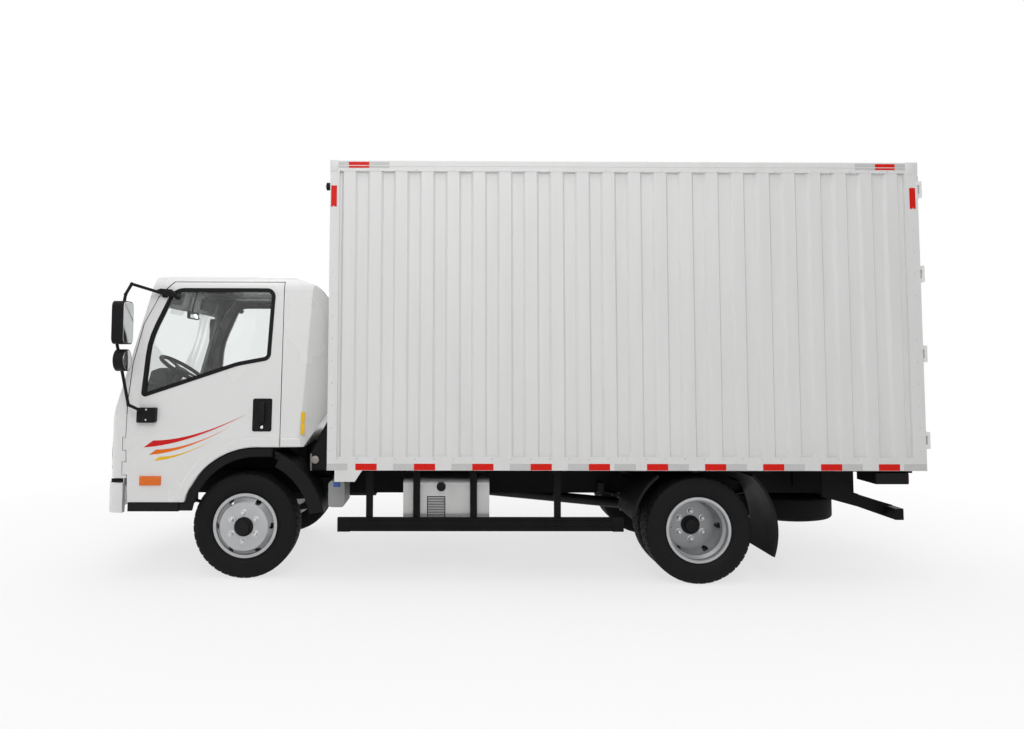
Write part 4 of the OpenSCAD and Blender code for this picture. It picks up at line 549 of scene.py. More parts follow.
for finish, names in node_finish.items():
    for name in names:
        slots = nodes[name].data.materials
        slots.clear()
        slots.append(finish)

# Camera at the photograph's place, pale floor and soft light

CAMERA_PLACE = (-1533, 6597, 1576)
CAMERA_TURN = (93.44, -0.1298, 179.5022)
CAMERA_LENS = 26.737
CAMERA_SHIFT = (0.0509, -0.0449)
SENSOR_W = 36.0
VIEW_REACH = 200.0
SHADE_LIGHT = 0.32
FLOOR_HALF = 60.0
FLOOR_DROP = 0.0005
FLOOR_FADE = (2.8, 6.5)
FLOOR_NEAR_WHITE = 0.7
# Name, place, what it faces, width in metres and power in watts
SOFT_PANELS = (
    ("sky_panel", (-1400, 1600, 8000), (-1400, 0, 0), 8.0, 225.0),
    ("side_panel", (-1500, 8200, 6000), (-1800, 800, 1300), 4.0, 215.0),
    ("front_panel", (7600, 1500, 3600), (600, 0, 1300), 4.0, 120.0),
    ("rear_panel", (-10500, -2500, 4200), (-3000, 0, 1500), 5.0, 150.0),
    ("far_panel", (-700, -7800, 4400), (-700, 0, 1400), 6.0, 200.0),
)


def white_ray(tree):
    """One for the rays that see the white background: camera, mirror and glass rays."""
    rays = tree.nodes.new("ShaderNodeLightPath")
    seen = rays.outputs["Is Camera Ray"]
    for name in ("Is Glossy Ray", "Is Transmission Ray"):
        seen = joined(tree, "MAXIMUM", seen, rays.outputs[name])
    return seen


def place_camera(scene):
    data = bpy.data.cameras.new("camera")
    data.sensor_width = SENSOR_W
    data.lens = CAMERA_LENS
    data.shift_x, data.shift_y = CAMERA_SHIFT
    data.clip_end = VIEW_REACH
    camera = bpy.data.objects.new("camera", data)
    camera.location = at(*CAMERA_PLACE)
    camera.rotation_euler = [math.radians(a) for a in CAMERA_TURN]
    scene.collection.objects.link(camera)
    scene.camera = camera


def place_lamps(scene):
    for name, place, aim, width, power in SOFT_PANELS:
        lamp = bpy.data.lights.new(name, "AREA")
        lamp.shape = "DISK"
        lamp.size = width
        lamp.energy = power
        holder = bpy.data.objects.new(name, lamp)
        holder.location = at(*place)
        holder.rotation_euler = (at(*place) - at(*aim)).to_track_quat("Z", "Y").to_euler()
        scene.collection.objects.link(holder)


def white_world(scene):
    """White to look at, and a dim light from all sides for the truck."""
    world = bpy.data.worlds.new("studio")
    scene.world = world
    world.use_nodes = True
    tree = world.node_tree
    back = tree.nodes["Background"]
    back.inputs["Color"].default_value = (1.0, 1.0, 1.0, 1.0)
    link(tree, ranged(tree, white_ray(tree), 0.0, 1.0, SHADE_LIGHT, 1.0), back.inputs["Strength"])


def floor_finish():
    """Pale floor that fades into the white background away from the truck."""
    material, tree, shader = begun("studio_floor")
    speckle = noise(tree, mapped(tree), 60.0)
    link(tree, mixed(tree, speckle, (0.9, 0.9, 0.9), (0.93, 0.93, 0.93)), shader.inputs["Base Color"])
    link(tree, ranged(tree, speckle, *NOISE_SPAN, 0.75, 0.85), shader.inputs["Roughness"])
    reach = tree.nodes.new("ShaderNodeVectorMath")
    reach.operation = "LENGTH"
    link(tree, mapped(tree), reach.inputs[0])
    far = ranged(tree, reach.outputs["Value"], *FLOOR_FADE, FLOOR_NEAR_WHITE, 1.0)
    white = tree.nodes.new("ShaderNodeEmission")
    blend = tree.nodes.new("ShaderNodeMixShader")
    link(tree, times(tree, far, white_ray(tree)), blend.inputs[0])
    link(tree, shader.outputs[0], blend.inputs[1])
    link(tree, white.outputs[0], blend.inputs[2])
    link(tree, blend.outputs[0], tree.nodes["Material Output"].inputs["Surface"])
    return material


def place_floor(scene):
    bm = bmesh.new()
    bmesh.ops.create_grid(bm, x_segments=8, y_segments=8, size=FLOOR_HALF)
    bmesh.ops.translate(bm, verts=bm.verts, vec=(0, 0, -FLOOR_DROP))
    mesh = bpy.data.meshes.new("studio_floor")
    bm.to_mesh(mesh)
    bm.free()
    mesh.materials.append(floor_finish())
    floor = bpy.data.objects.new("studio_floor", mesh)
    scene.collection.objects.link(floor)


def studio():
    scene = bpy.context.scene
    scene.view_settings.view_transform = "Standard"
    place_camera(scene)
    place_lamps(scene)
    white_world(scene)
    place_floor(scene)


studio()

# Load box: reflective tape, rivets, roof caps, lamps and seals

BOX_FRONT_X = -635.0
WALL_FRONT_X = -690.0
WALL_REAR_X = -4845.0
REAR_FACE_X = -4930.0
BOX_TOP_Z = 3060.0
TAPE_PROUD = 1.2
TAPE_SINK = 0.5
TAPE_EDGE = 0.4
TAPE_GAP = 2.0
RED_PATCHES = 10
RED_FIRST_X = -838.0
RED_STEP = 416.0
RED_L = 152.0
PALE_L = 146.0
SILL_TAPE_Z = (822.0, 868.0)
TOP_TAPE_Z = (3003.0, 3048.0)
CORNER_TAPE_Z = (2717.0, 2872.0)
REAR_TAPE_STEP = 270.0
REAR_TAPE_L = 264.0
REAR_TAPE_H = 45.0
REAR_RAILS_Z = (838.0, 2992.0)
RIVET_H = 3.2
SILL_RIVET_R = 6.0
SILL_RIVET_Z = 902.0
TOP_RIVET_Z = 2991.0
RIVET_PITCH = 138.0
SMALL_RIVET_R = 5.0
POSTS_X = (-662.0, -4888.0)
POST_Y = 1098.0
SIDE_RIVETS_Z = range(960, 2960, 160)
END_RIVETS_Z = range(980, 2960, 180)
LAMP_Y = 1097.5
FRONT_LAMP_X = -609.0
FRONT_LAMP_Z = 2870.0
TAIL_LENS_X = (-4826.0, -4815.0)
TAIL_LENS_Z = (726.0, 794.0)
DOOR_SEAL_X = (-4912.0, -4903.0)


def side_patch(bm, front, rear, heights):
    """A thin patch on the left side of the box."""
    low_z, high_z = heights
    add_box(bm, (rear, BOX_HALF_W - TAPE_SINK, low_z), (front, BOX_HALF_W + TAPE_PROUD, high_z), TAPE_EDGE, 1)


def box_tape():
    red, pale = bmesh.new(), bmesh.new()
    # In the front half a pale patch leads each red one, in the rear half it follows
    for i in range(RED_PATCHES):
        front = RED_FIRST_X - i * RED_STEP
        rear = front - RED_L
        side_patch(red, front, rear, SILL_TAPE_Z)
        if 1 <= i <= 4:
            side_patch(pale, front + TAPE_GAP + PALE_L, front + TAPE_GAP, SILL_TAPE_Z)
        elif 5 <= i <= 8:
            side_patch(pale, rear - TAPE_GAP, rear - TAPE_GAP - PALE_L, SILL_TAPE_Z)
    for front, rear in ((-637.0, -782.0), (-2685.0, -2839.0), (-4764.0, -4926.0)):
        side_patch(pale, front, rear, SILL_TAPE_Z)
    for bm, front, rear in ((pale, -694, -766), (red, -768, -918), (pale, -920, -1064),
                            (pale, -4472, -4618), (red, -4620, -4765), (pale, -4767, -4841)):
        side_patch(bm, front, rear, TOP_TAPE_Z)
    for front, rear in ((-642, -684), (-4866, -4910)):
        side_patch(red, front, rear, CORNER_TAPE_Z)
    for bm in (red, pale):
        both_sides(bm)
    # Rear tape on the lower and upper rails of the rear frame
    for i, bm in enumerate((red, pale, red, pale, pale, red, pale, red)):
        y = (i - 4) * REAR_TAPE_STEP
        for z in REAR_RAILS_Z:
            add_box(bm, (REAR_FACE_X - TAPE_PROUD, y, z),
                    (REAR_FACE_X + TAPE_SINK, y + REAR_TAPE_L, z + REAR_TAPE_H), TAPE_EDGE, 1)
    piece("box_tape_red", red, "chassis", tape_red, smooth=False)
    piece("box_tape_pale", pale, "chassis", tape_pale, smooth=False)


def add_rivet(bm, place, axis, radius=SMALL_RIVET_R):
    dome = [(0.0, RIVET_H), (radius * 0.7, RIVET_H * 0.75), (radius, 0.0), (radius, -0.6)]
    add_spun(bm, dome, place, axis, 8)


def box_rivets():
    """Rivets along the rails, up the corner posts, and on the front and rear of the box."""
    bm = bmesh.new()
    x = WALL_FRONT_X - 18.0
    while x > WALL_REAR_X:
        add_rivet(bm, (x, BOX_HALF_W, SILL_RIVET_Z), OUT, SILL_RIVET_R)
        add_rivet(bm, (x, BOX_HALF_W, TOP_RIVET_Z), OUT)
        x -= RIVET_PITCH
    for z in SIDE_RIVETS_Z:
        for x in POSTS_X:
            add_rivet(bm, (x, BOX_HALF_W, z), OUT)
    both_sides(bm)
    for z in END_RIVETS_Z:
        for y in (-POST_Y, POST_Y):
            add_rivet(bm, (BOX_FRONT_X, y, z), AHEAD)
            add_rivet(bm, (REAR_FACE_X, y, z), (-1, 0, 0))
    piece("box_rivets", bm, "chassis", lock_zinc)


def roof_trim():
    """Folded edge strips and caps on the corners of the roof."""
    bm = bmesh.new()
    add_box(bm, (WALL_REAR_X + 3, 1108, 3017), (BOX_FRONT_X - 3, BOX_HALF_W + 2.5, 3022.5), 1.0)
    for rear, front in ((WALL_FRONT_X, BOX_FRONT_X + 2), (REAR_FACE_X - 2, WALL_REAR_X + 2)):
        add_box(bm, (rear, 1060, 2975), (front, BOX_HALF_W + 3, BOX_TOP_Z + 1.5), 4.0)
    both_sides(bm)
    piece("box_corner_caps", bm, "chassis", box_paint)


def box_lamps():
    amber, red, white, black = (bmesh.new() for _ in range(4))
    dome = [(0.0, 12.0), (11.0, 10.5), (19.0, 5.5), (22.5, 0.0), (22.5, -1.0)]
    holder = [(22.5, -1.0), (27.0, 3.0), (28.5, 0.0), (28.5, -26.0), (24.0, -26.0), (22.5, -1.0)]
    for side in (1, -1):
        y = side * LAMP_Y
        place = (FRONT_LAMP_X, y, FRONT_LAMP_Z)
        add_spun(white, dome, place, AHEAD, 24)
        add_spun(black, holder, place, AHEAD, 24)
        # Rear edge lamp at the top corner
        add_box(black, (REAR_FACE_X - 1.5, y - 26, 2896), (REAR_FACE_X + 5, y + 26, 2972), 3.0)
        add_box(red, (REAR_FACE_X - 10, y - 20, 2902), (REAR_FACE_X + 1, y + 20, 2966), 6.0, 3)
        # Tail lamp glasses on the box under the rear corner
        for bm, inner, outer in ((red, 1000, 1078), (amber, 920, 996), (white, 836, 916)):
            across = sorted((side * inner, side * outer))
            add_box(bm, *corners(TAIL_LENS_X, across, TAIL_LENS_Z), 7.0, 3)
    piece("lamps_white", white, "chassis", lamp_white)
    piece("lamps_amber", amber, "chassis", lamp_amber)
    piece("lamps_red", red, "chassis", lamp_red)
    piece("lamp_holders", black, "chassis", black_plastic)


def rear_seals():
    """Rubber lips round the rear doors and between them."""
    lips = ((3, 15, 924, 2972), (1050, 1064, 924, 2972), (15, 1050, 921, 933), (15, 1050, 2963, 2975))
    for side, body in ((1, "box_door_left"), (-1, "box_door_right")):
        bm = bmesh.new()
        for inner, outer, low_z, high_z in lips:
            across = sorted((side * inner, side * outer))
            add_box(bm, *corners(DOOR_SEAL_X, across, (low_z, high_z)), 3.0)
        piece(body + "_seal", bm, body, seal_rubber)


box_tape()
box_rivets()
roof_trim()
box_lamps()
rear_seals()

# Wheels: tyres with road tread, nuts, hub covers and rim rings

TYRE_R = 383.5
GROOVE_DEPTH = 12.0
SLOT_DEPTH = 0.006
TYRE_SIDES = 240
SLOT_PITCH = 6
FRONT_Y = 803.0
REAR_Y = 834.0
TWIN_HALF = 122.0
FLANGE_HALF = 88.0
STUDS = 6
NUT_CIRCLE_R = 102.5
SCREW_CIRCLE_R = 58.0
FRONT_WHEELS = ("wheel_front_left", "wheel_front_right")
REAR_WHEELS = ("wheel_rear_left", "wheel_rear_right")
# Name, bodies, axle, middle of the wheel, face of the disc from it, cover's height, rim flange's edge
WHEEL_ENDS = (
    ("front", FRONT_WHEELS, 0.0, FRONT_Y, 122.0, 50.0, FLANGE_HALF),
    ("rear", REAR_WHEELS, REAR_AXLE_X, REAR_Y, 9.0, 44.0, TWIN_HALF + FLANGE_HALF),
)


def tyre_profile():
    """Cross section from bead to bead: sidewall with rings, round shoulders and three grooves."""
    groove_r = TYRE_R - GROOVE_DEPTH
    half = [(222.6, 78.6), (238.0, 78.9), (243.0, 84.5), (250.0, 92.5), (262.0, 99.5), (268.0, 101.2),
            (270.0, 103.2), (275.0, 104.0), (277.0, 103.0), (290.0, 106.6), (306.0, 107.4), (322.0, 106.2),
            (336.0, 103.6), (340.0, 104.6), (346.0, 103.4), (349.0, 101.0), (360.0, 98.0), (370.0, 93.0),
            (377.5, 87.0), (TYRE_R - 1.5, 78.0), (TYRE_R - 0.6, 52.0), (TYRE_R - 0.6, 46.0),
            (groove_r, 44.0), (groove_r, 38.0), (TYRE_R - 0.2, 36.0), (TYRE_R, 18.0), (TYRE_R, 5.5),
            (groove_r, 4.0)]
    return half + [(r, -h) for r, h in reversed(half)]


def in_slot(place):
    """Whether a face of the tread, seen from the wheel's middle, is the bottom of a slot."""
    radius, across = math.hypot(place.x, place.z) * MM_PER_M, place.y * MM_PER_M
    step = int((math.atan2(place.z, place.x) % math.tau) / math.tau * TYRE_SIDES) % SLOT_PITCH
    if radius > 366.0 and abs(across) > 53.0:
        return step == (0 if across > 0 else 3)
    return radius > 378.0 and 6.0 < abs(across) < 35.0 and step == (2 if across > 0 else 5)


def add_tyre(bm, centre):
    """One tyre: turned section with slots cut across its shoulders and blocks."""
    made = add_spun(bm, tyre_profile(), centre, OUT, TYRE_SIDES, closed=True)
    middle = at(*centre)
    slots = [f for f in made if in_slot(f.calc_center_median() - middle)]
    cut = bmesh.ops.extrude_face_region(bm, geom=slots)["geom"]
    bmesh.ops.delete(bm, geom=[f for f in slots if f.is_valid], context="FACES_ONLY")
    for vert in (g for g in cut if isinstance(g, bmesh.types.BMVert)):
        away = vert.co - middle
        away.y = 0.0
        vert.co -= away.normalized() * SLOT_DEPTH


def round_hub(axle_x, radius):
    """Places (x, z) of the studs or screws round an axle, between the hand holes."""
    for i in range(STUDS):
        angle = (i + 0.5) * math.tau / STUDS
        yield axle_x + radius * math.cos(angle), AXLE_Z + radius * math.sin(angle)


def add_nuts(bm, axle_x, face_y):
    """Hexagon nuts on collars with their stud ends."""
    for x, z in round_hub(axle_x, NUT_CIRCLE_R):
        add_rod(bm, (x, face_y - 1, z), (x, face_y + 6, z), 25.0, 24, 1.5)
        add_rod(bm, (x, face_y + 5, z), (x, face_y + 26, z), 21.0, 6, 1.5, 15.0)
        add_rod(bm, (x, face_y + 22, z), (x, face_y + 36, z), 10.0, 14, 2.5)


def add_hub_cover(bm, axle_x, face_y, top):
    """Black cover over the hub with a stepped rim and small screws."""
    profile = [(0.0, top), (22.0, top), (25.0, top - 1.5), (45.2, top - 1.8), (47.6, top - 5.0),
               (48.0, 13.0), (50.0, 11.5), (66.0, 11.5), (69.0, 8.5), (69.0, 0.5)]
    add_spun(bm, profile, (axle_x, face_y, AXLE_Z), OUT, 40)
    for x, z in round_hub(axle_x, SCREW_CIRCLE_R):
        add_rod(bm, (x, face_y + 10, z), (x, face_y + 16, z), 6.0, 6, 0.8)


def add_rim_ring(bm, axle_x, y, edge):
    """Bright ring on the outer rim flange, with the valve stem."""
    profile = [(214.0, edge - 6.0), (216.0, edge - 0.5), (228.0, edge + 1.2), (235.6, edge - 0.5),
               (236.4, edge - 6.0), (235.0, edge - 8.9)]
    add_spun(bm, profile, (axle_x, y, AXLE_Z), OUT, 72)
    add_rod(bm, (axle_x + 196, y + edge - 22, AXLE_Z + 20), (axle_x + 188, y + edge + 12, AXLE_Z + 19),
            4.5, 10, 0.8)


def wheel_set():
    front, rear = bmesh.new(), bmesh.new()
    add_tyre(front, (0, FRONT_Y, AXLE_Z))
    left_and_right("tread_front", front, FRONT_WHEELS, tyre_rubber,
                   replaces=(("tyre_front_left",), ("tyre_front_right",)))
    for y in (REAR_Y - TWIN_HALF, REAR_Y + TWIN_HALF):
        add_tyre(rear, (REAR_AXLE_X, y, AXLE_Z))
    left_and_right("tread_rear", rear, REAR_WHEELS, tyre_rubber,
                   replaces=(("tyre_rear_left",), ("tyre_rear_right",)))
    for name, bodies, axle_x, y, face, top, edge in WHEEL_ENDS:
        nuts, cover, ring = bmesh.new(), bmesh.new(), bmesh.new()
        add_nuts(nuts, axle_x, y + face)
        left_and_right("nuts_" + name, nuts, bodies, lock_zinc)
        add_hub_cover(cover, axle_x, y + face, top)
        left_and_right("hub_cover_" + name, cover, bodies, black_plastic)
        add_rim_ring(ring, axle_x, y, edge)
        left_and_right("flange_ring_" + name, ring, bodies, wheel_silver)


wheel_set()

# Cab: stripes, wheel arch, door fittings, wipers, headlamps and front

DOORS = ("cab_door_left", "cab_door_right")
DOOR_REAR_X = -257.0
QUARTER_X = (-264.0, -415.0)
ARCH = (-90.0, 420.0)
ARCH_STEPS = 30
FLARE_Z = (968.0, 1030.0)
FLARE_Y = (CAB_HALF_W + 0.2, CAB_HALF_W + 6.0)
STRIPE_SLANT = 1.4
STRIPE_CURVE = 1.7
STRIPE_TAPER = 0.75
STRIPE_TIP = 0.4
STRIPE_GAP = 0.3
STRIPE_THICK = 0.9
HANDLE_FACE_Y = 958.2
GRIP_X = (-147.0, -105.0)
GRIP_Y = (968.0, 984.0)
GRIP_Z = (1146.0, 1294.0)
GRIP_FOOT_X = (-143.0, -109.0)
GRIP_FEET_Z = ((1270.0, 1294.0), (1146.0, 1166.0))
DOOR_LOCK = (-126.0, 1110.0)
SIDE_LENS_X = (602.2, 756.4)
SIDE_LENS_Y = (955.3, 964.2, 968.0)
SIDE_LENS_Z = (688.0, 754.2)
SIDE_LENS_WALL = 1.1
MIRROR_Y = 1085.0
MIRROR_BACK_X = 818.4
MIRROR_THICK = 2.5
MIRROR_Z = 1870.0
MIRROR_CORNER = (48.0, 113.0)
MIRROR_CORNER_R = 34.0
WIDE_MIRROR_Z = 1600.0
WIDE_MIRROR_R = 71.0
SCREEN_FOOT = (1000.0, 1290.0)
SCREEN_RAKE = math.radians(15.0)
LAMP_PLAN = ((1025.5, 574.0), (1019.5, 640.0), (1011.5, 720.0), (1003.5, 800.0), (997.5, 858.0),
             (988.5, 896.0))
LAMP_BACK = 31.0
GRILLE_X = (958.0, 968.0)
GRILLE_HALF_W = 486.0
GRILLE_Z = (792.0, 1014.0)
PLATE_BACK_X = 1049.0
PLATE_HALF_W = 222.0
PLATE_Z = (555.0, 649.0)
STRIP_Z = (705.0, 733.0)
STRIP_HALF_W = 380.0
SLOT_L = 120.0
SLOT_Z = (505.0, 533.0)
BUMPER_SLOTS = 5
BUMPER_SLOT_STEP = 150.0
QUARTER_STRIP_X = (-412.0, -440.0)
QUARTER_STRIP_H = 78.0


def leaned(bm):
    """Leans what is drawn on an upright side, so that it follows the cab's side."""
    for v in bm.verts:
        v.co.y += (skin_y(v.co.z * MM_PER_M) - CAB_HALF_W) / MM_PER_M


def arc(centre, radius, start, end, steps=ARCH_STEPS):
    """Places (x, z) along an arc, angles in degrees from forward to up."""
    turns = [math.radians(start + (end - start) * i / steps) for i in range(steps + 1)]
    return [(centre[0] + radius * math.cos(a), centre[1] + radius * math.sin(a)) for a in turns]


def add_side_plate(bm, outline, low_y, high_y, bevel=0.0):
    """A plate with an (x, z) outline between two distances from the middle of the truck."""
    add_plate(bm, [(x, low_y, z) for x, z in outline], (0, high_y - low_y, 0), bevel)


def add_stripe(bm, start, end, half_w):
    """A swept stripe: wide and cut on the slant in front, curving up to a point at the rear."""
    bmesh.ops.create_grid(bm, x_segments=48, y_segments=6, size=0.5)
    for v in bm.verts:
        t = min(1.0, max(0.0, v.co.x + 0.5))
        s = 2.0 * v.co.y * max(half_w * (1.0 - t) ** STRIPE_TAPER, STRIPE_TIP)
        x = start[0] + (end[0] - start[0]) * t - s * STRIPE_SLANT
        z = start[1] + (end[1] - start[1]) * t ** STRIPE_CURVE + s
        v.co = at(x, skin_y(z) + STRIPE_GAP, z)
    made = bmesh.ops.extrude_face_region(bm, geom=bm.faces[:], use_keep_orig=True)
    outer = [g for g in made["geom"] if isinstance(g, bmesh.types.BMVert)]
    bmesh.ops.translate(bm, verts=outer, vec=(0, STRIPE_THICK / MM_PER_M, 0))


def door_stripes():
    for name, finish, start, end, half_w in (
            ("stripe_upper", stripe_red, (700.0, 988.0), (-10.0, 1206.0), 25.0),
            ("stripe_middle", stripe_orange, (668.0, 928.0), (110.0, 1112.0), 19.0),
            ("stripe_lower", stripe_yellow, (636.0, 880.0), (225.0, 1022.0), 14.0)):
        bm = bmesh.new()
        add_stripe(bm, start, end, half_w)
        left_and_right(name, bm, DOORS, finish, smooth=False)


def wheel_arch():
    """Flare on the door and the quarter panel, the arch's lip on the cab, the guard's wide edge behind."""
    low, high = FLARE_Z
    rear = DOOR_REAR_X + 4.0
    bm = bmesh.new()
    flare = arc(ARCH, 548.0, 16.5, 90.0) + [(rear, low), (rear, high)] + arc(ARCH, 610.0, 90.0, 14.8)
    add_side_plate(bm, flare, *FLARE_Y, 4.0)
    left_and_right("arch_flare", bm, DOORS, cab_paint)
    bm = bmesh.new()
    front, rear = QUARTER_X
    add_side_plate(bm, [(front, low), (rear, low), (rear, high), (front, high)], *FLARE_Y, 4.0)
    both_sides(bm)
    piece("quarter_flare", bm, "cab", cab_paint)
    bm = bmesh.new()
    lip = [(380.0, 502.0), (472.0, 502.0), (472.0, 556.0)] + arc(ARCH, 539.0, 15.5, 90.0)
    lip += [(-205.0, 959.0), (-205.0, 893.0)] + arc(ARCH, 473.0, 90.0, 10.5)
    add_side_plate(bm, lip, 931.5, 949.0, 7.0)
    both_sides(bm)
    piece("arch_lip", bm, "cab", black_plastic)
    bm = bmesh.new()
    hub = (0.0, AXLE_Z)
    edge = arc(hub, 591.0, 117.0, 169.0, 20) + arc(hub, 488.0, 169.0, 117.0, 20)
    add_side_plate(bm, edge, 930.5, 938.0, 4.0)
    both_sides(bm)
    piece("guard_edge", bm, "chassis", black_plastic)


def door_handle():
    """Upright grip on two feet over the handle's pan, and the lock under it."""
    bm = bmesh.new()
    add_box(bm, *corners(GRIP_X, GRIP_Y, GRIP_Z), 7.0, 3)
    for foot_z in GRIP_FEET_Z:
        add_box(bm, *corners(GRIP_FOOT_X, (HANDLE_FACE_Y, GRIP_Y[0] + 6.0), foot_z), 4.0)
    leaned(bm)
    left_and_right("door_pull", bm, DOORS, black_plastic)
    bm = bmesh.new()
    x, z = DOOR_LOCK
    add_rod(bm, (x, HANDLE_FACE_Y, z), (x, HANDLE_FACE_Y + 4.8, z), 11.0, 24, 1.5)
    leaned(bm)
    left_and_right("door_lock", bm, DOORS, chrome)


def side_lens():
    """Amber cover with thin walls over the side lamp."""
    (rear, front), (low, high), wall = SIDE_LENS_X, SIDE_LENS_Z, SIDE_LENS_WALL
    panel_y, rim_y, face_y = SIDE_LENS_Y
    bm = bmesh.new()
    add_box(bm, (rear, rim_y, low), (front, face_y, high), 1.8)
    for x in (rear, front - wall):
        add_box(bm, (x, panel_y, low), (x + wall, rim_y, high))
    for z in (low, high - wall):
        add_box(bm, (rear + wall, panel_y, z), (front - wall, rim_y, z + wall))
    left_and_right("side_lens", bm, DOORS, lamp_amber)


def door_mirrors():
    """Faces of both mirrors, the arm's upper bracket and the bolts of its foot."""
    bm = bmesh.new()
    rim = []
    for sy, sz, start in ((1, 1, 0), (-1, 1, 90), (-1, -1, 180), (1, -1, 270)):
        middle = (MIRROR_Y + sy * MIRROR_CORNER[0], MIRROR_Z + sz * MIRROR_CORNER[1])
        rim += arc(middle, MIRROR_CORNER_R, start, start + 90, 6)
    add_plate(bm, [(MIRROR_BACK_X, y, z) for y, z in rim], (-MIRROR_THICK, 0, 0), 1.0)
    face_x = MIRROR_BACK_X - MIRROR_THICK
    add_rod(bm, (MIRROR_BACK_X, MIRROR_Y, WIDE_MIRROR_Z), (face_x, MIRROR_Y, WIDE_MIRROR_Z),
            WIDE_MIRROR_R, 40, 1.0)
    left_and_right("mirror_face", bm, DOORS, mirror_glass)
    bm = bmesh.new()
    wedge = [(700, 2120), (655, 2136), (575, 2130), (531, 2092), (552, 2066), (612, 2080)]
    add_side_plate(bm, wedge, 905.0, 926.0, 6.0)
    left_and_right("mirror_bracket", bm, DOORS, black_plastic)
    bm = bmesh.new()
    for z in (1165.0, 1240.0):
        add_rod(bm, (713, 995.2, z), (713, 1000.0, z), 7.0, 6, 1.0)
    leaned(bm)
    left_and_right("mirror_bolts", bm, DOORS, lock_zinc, smooth=False)


def on_screen(y, along, out):
    """A place on the raked windscreen: up along it and out from it."""
    return (SCREEN_FOOT[0] - along * math.sin(SCREEN_RAKE) + out * math.cos(SCREEN_RAKE), y,
            SCREEN_FOOT[1] + along * math.cos(SCREEN_RAKE) + out * math.sin(SCREEN_RAKE))


def wipers():
    arms, blades = bmesh.new(), bmesh.new()
    for pivot_y, far_y in ((430.0, -70.0), (-110.0, -600.0)):
        add_rod(arms, on_screen(pivot_y, 12.0, 1.0), on_screen(pivot_y, 12.0, 26.0), 15.0, 20, 2.0)
        middle_y = (pivot_y + far_y) / 2.0
        add_tube(arms, [on_screen(pivot_y, 20.0, 22.0), on_screen(middle_y, 100.0, 17.0)], 6.0, 10)
        add_tube(blades, [on_screen(far_y, 112.0, 8.0), on_screen(pivot_y - 20.0, 84.0, 8.0)], 5.0, 8)
    piece("wiper_arms", arms, "cab", black_plastic)
    piece("wiper_blades", blades, "cab", seal_rubber)


def add_lamp_shell(bm, back, thick, low, high):
    """A sheet that follows the front of a headlamp, set back from it."""
    front = [(x - back, y, low) for x, y in LAMP_PLAN]
    rear = [(x - back - thick, y, low) for x, y in reversed(LAMP_PLAN)]
    add_plate(bm, front + rear, (0, 0, high - low))


def headlamps():
    """Clear cover, black backing, two bright bowls with bulbs and an amber lamp at the corner."""
    cover, backing, bowls, amber = (bmesh.new() for _ in range(4))
    add_lamp_shell(cover, 0.0, 4.0, 800.5, 999.5)
    add_lamp_shell(backing, LAMP_BACK, 3.5, 801.5, 998.5)
    for x, y, z, r in ((989.0, 655.0, 905.0, 68.0), (975.5, 795.0, 905.0, 58.0)):
        profile = [(r, 22.0), (r - 4.0, 21.0), (r * 0.8, 11.0), (r * 0.45, 3.0), (r * 0.2, 1.0), (0.01, 1.0)]
        profile += [(0.01, 0.0), (r * 0.6, 0.0), (r, 10.0)]
        add_spun(bowls, profile, (x, y, z), AHEAD, 40, closed=True)
        add_rod(bowls, (x + 1.5, y, z), (x + 15.0, y, z), 9.0, 16, 2.0)
    add_box(amber, (961.0, 856.0, 806.0), (976.0, 890.0, 994.0), 4.0)
    for bm in (cover, backing, bowls, amber):
        both_sides(bm)
    piece("headlamp_cover", cover, "cab", lamp_clear, replaces=("headlamps",))
    piece("headlamp_backing", backing, "cab", black_plastic)
    piece("headlamp_bowls", bowls, "cab", chrome)
    piece("headlamp_amber", amber, "cab", lamp_amber)


def front_details():
    bm = bmesh.new()
    add_box(bm, *corners(GRILLE_X, either_way(GRILLE_HALF_W), GRILLE_Z), 2.0)
    piece("grille_backing", bm, "cab", black_plastic)
    bm = bmesh.new()
    holder_z = (PLATE_Z[0] - 7.0, PLATE_Z[1] + 7.0)
    add_box(bm, *corners((PLATE_BACK_X - 1.7, PLATE_BACK_X), either_way(PLATE_HALF_W + 10.0), holder_z), 0.6)
    piece("front_plate_holder", bm, "cab", black_plastic)
    bm = bmesh.new()
    add_box(bm, *corners((PLATE_BACK_X, PLATE_BACK_X + 2.0), either_way(PLATE_HALF_W), PLATE_Z), 0.8)
    piece("front_plate", bm, "cab", plate_white)
    bm = bmesh.new()
    add_box(bm, *corners((890.0, 975.0), (926.3, 929.5), (STRIP_Z[0], STRIP_Z[1] + 1.0)), 1.0)
    both_sides(bm)
    add_box(bm, *corners((1022.3, 1026.0), either_way(STRIP_HALF_W), STRIP_Z), 1.2)
    piece("bumper_strip", bm, "cab", black_plastic)
    bm = bmesh.new()
    for i in range(BUMPER_SLOTS):
        y = (i - BUMPER_SLOTS // 2) * BUMPER_SLOT_STEP - SLOT_L / 2.0
        add_box(bm, *corners((1046.8, 1048.6), (y, y + SLOT_L), SLOT_Z), 0.8)
    piece("bumper_slots", bm, "cab", black_plastic)


def quarter_strip():
    """Two yellow reflectors, one over the other, on the rear edge of the cab's side."""
    front, rear = QUARTER_STRIP_X
    bm = bmesh.new()
    for low in (1059.0, 1143.0):
        high = low + QUARTER_STRIP_H
        outline = [(front, low), (rear, low), (rear, high), (front, high)]
        add_side_plate(bm, outline, CAB_HALF_W - 2.0, CAB_HALF_W + 2.0, 0.5)
    leaned(bm)
    both_sides(bm)
    piece("quarter_strip", bm, "cab", stripe_yellow)


door_stripes()
wheel_arch()
door_handle()
side_lens()
door_mirrors()
wipers()
headlamps()
front_details()
quarter_strip()

# Inside of the cab: stuffed seats and fittings

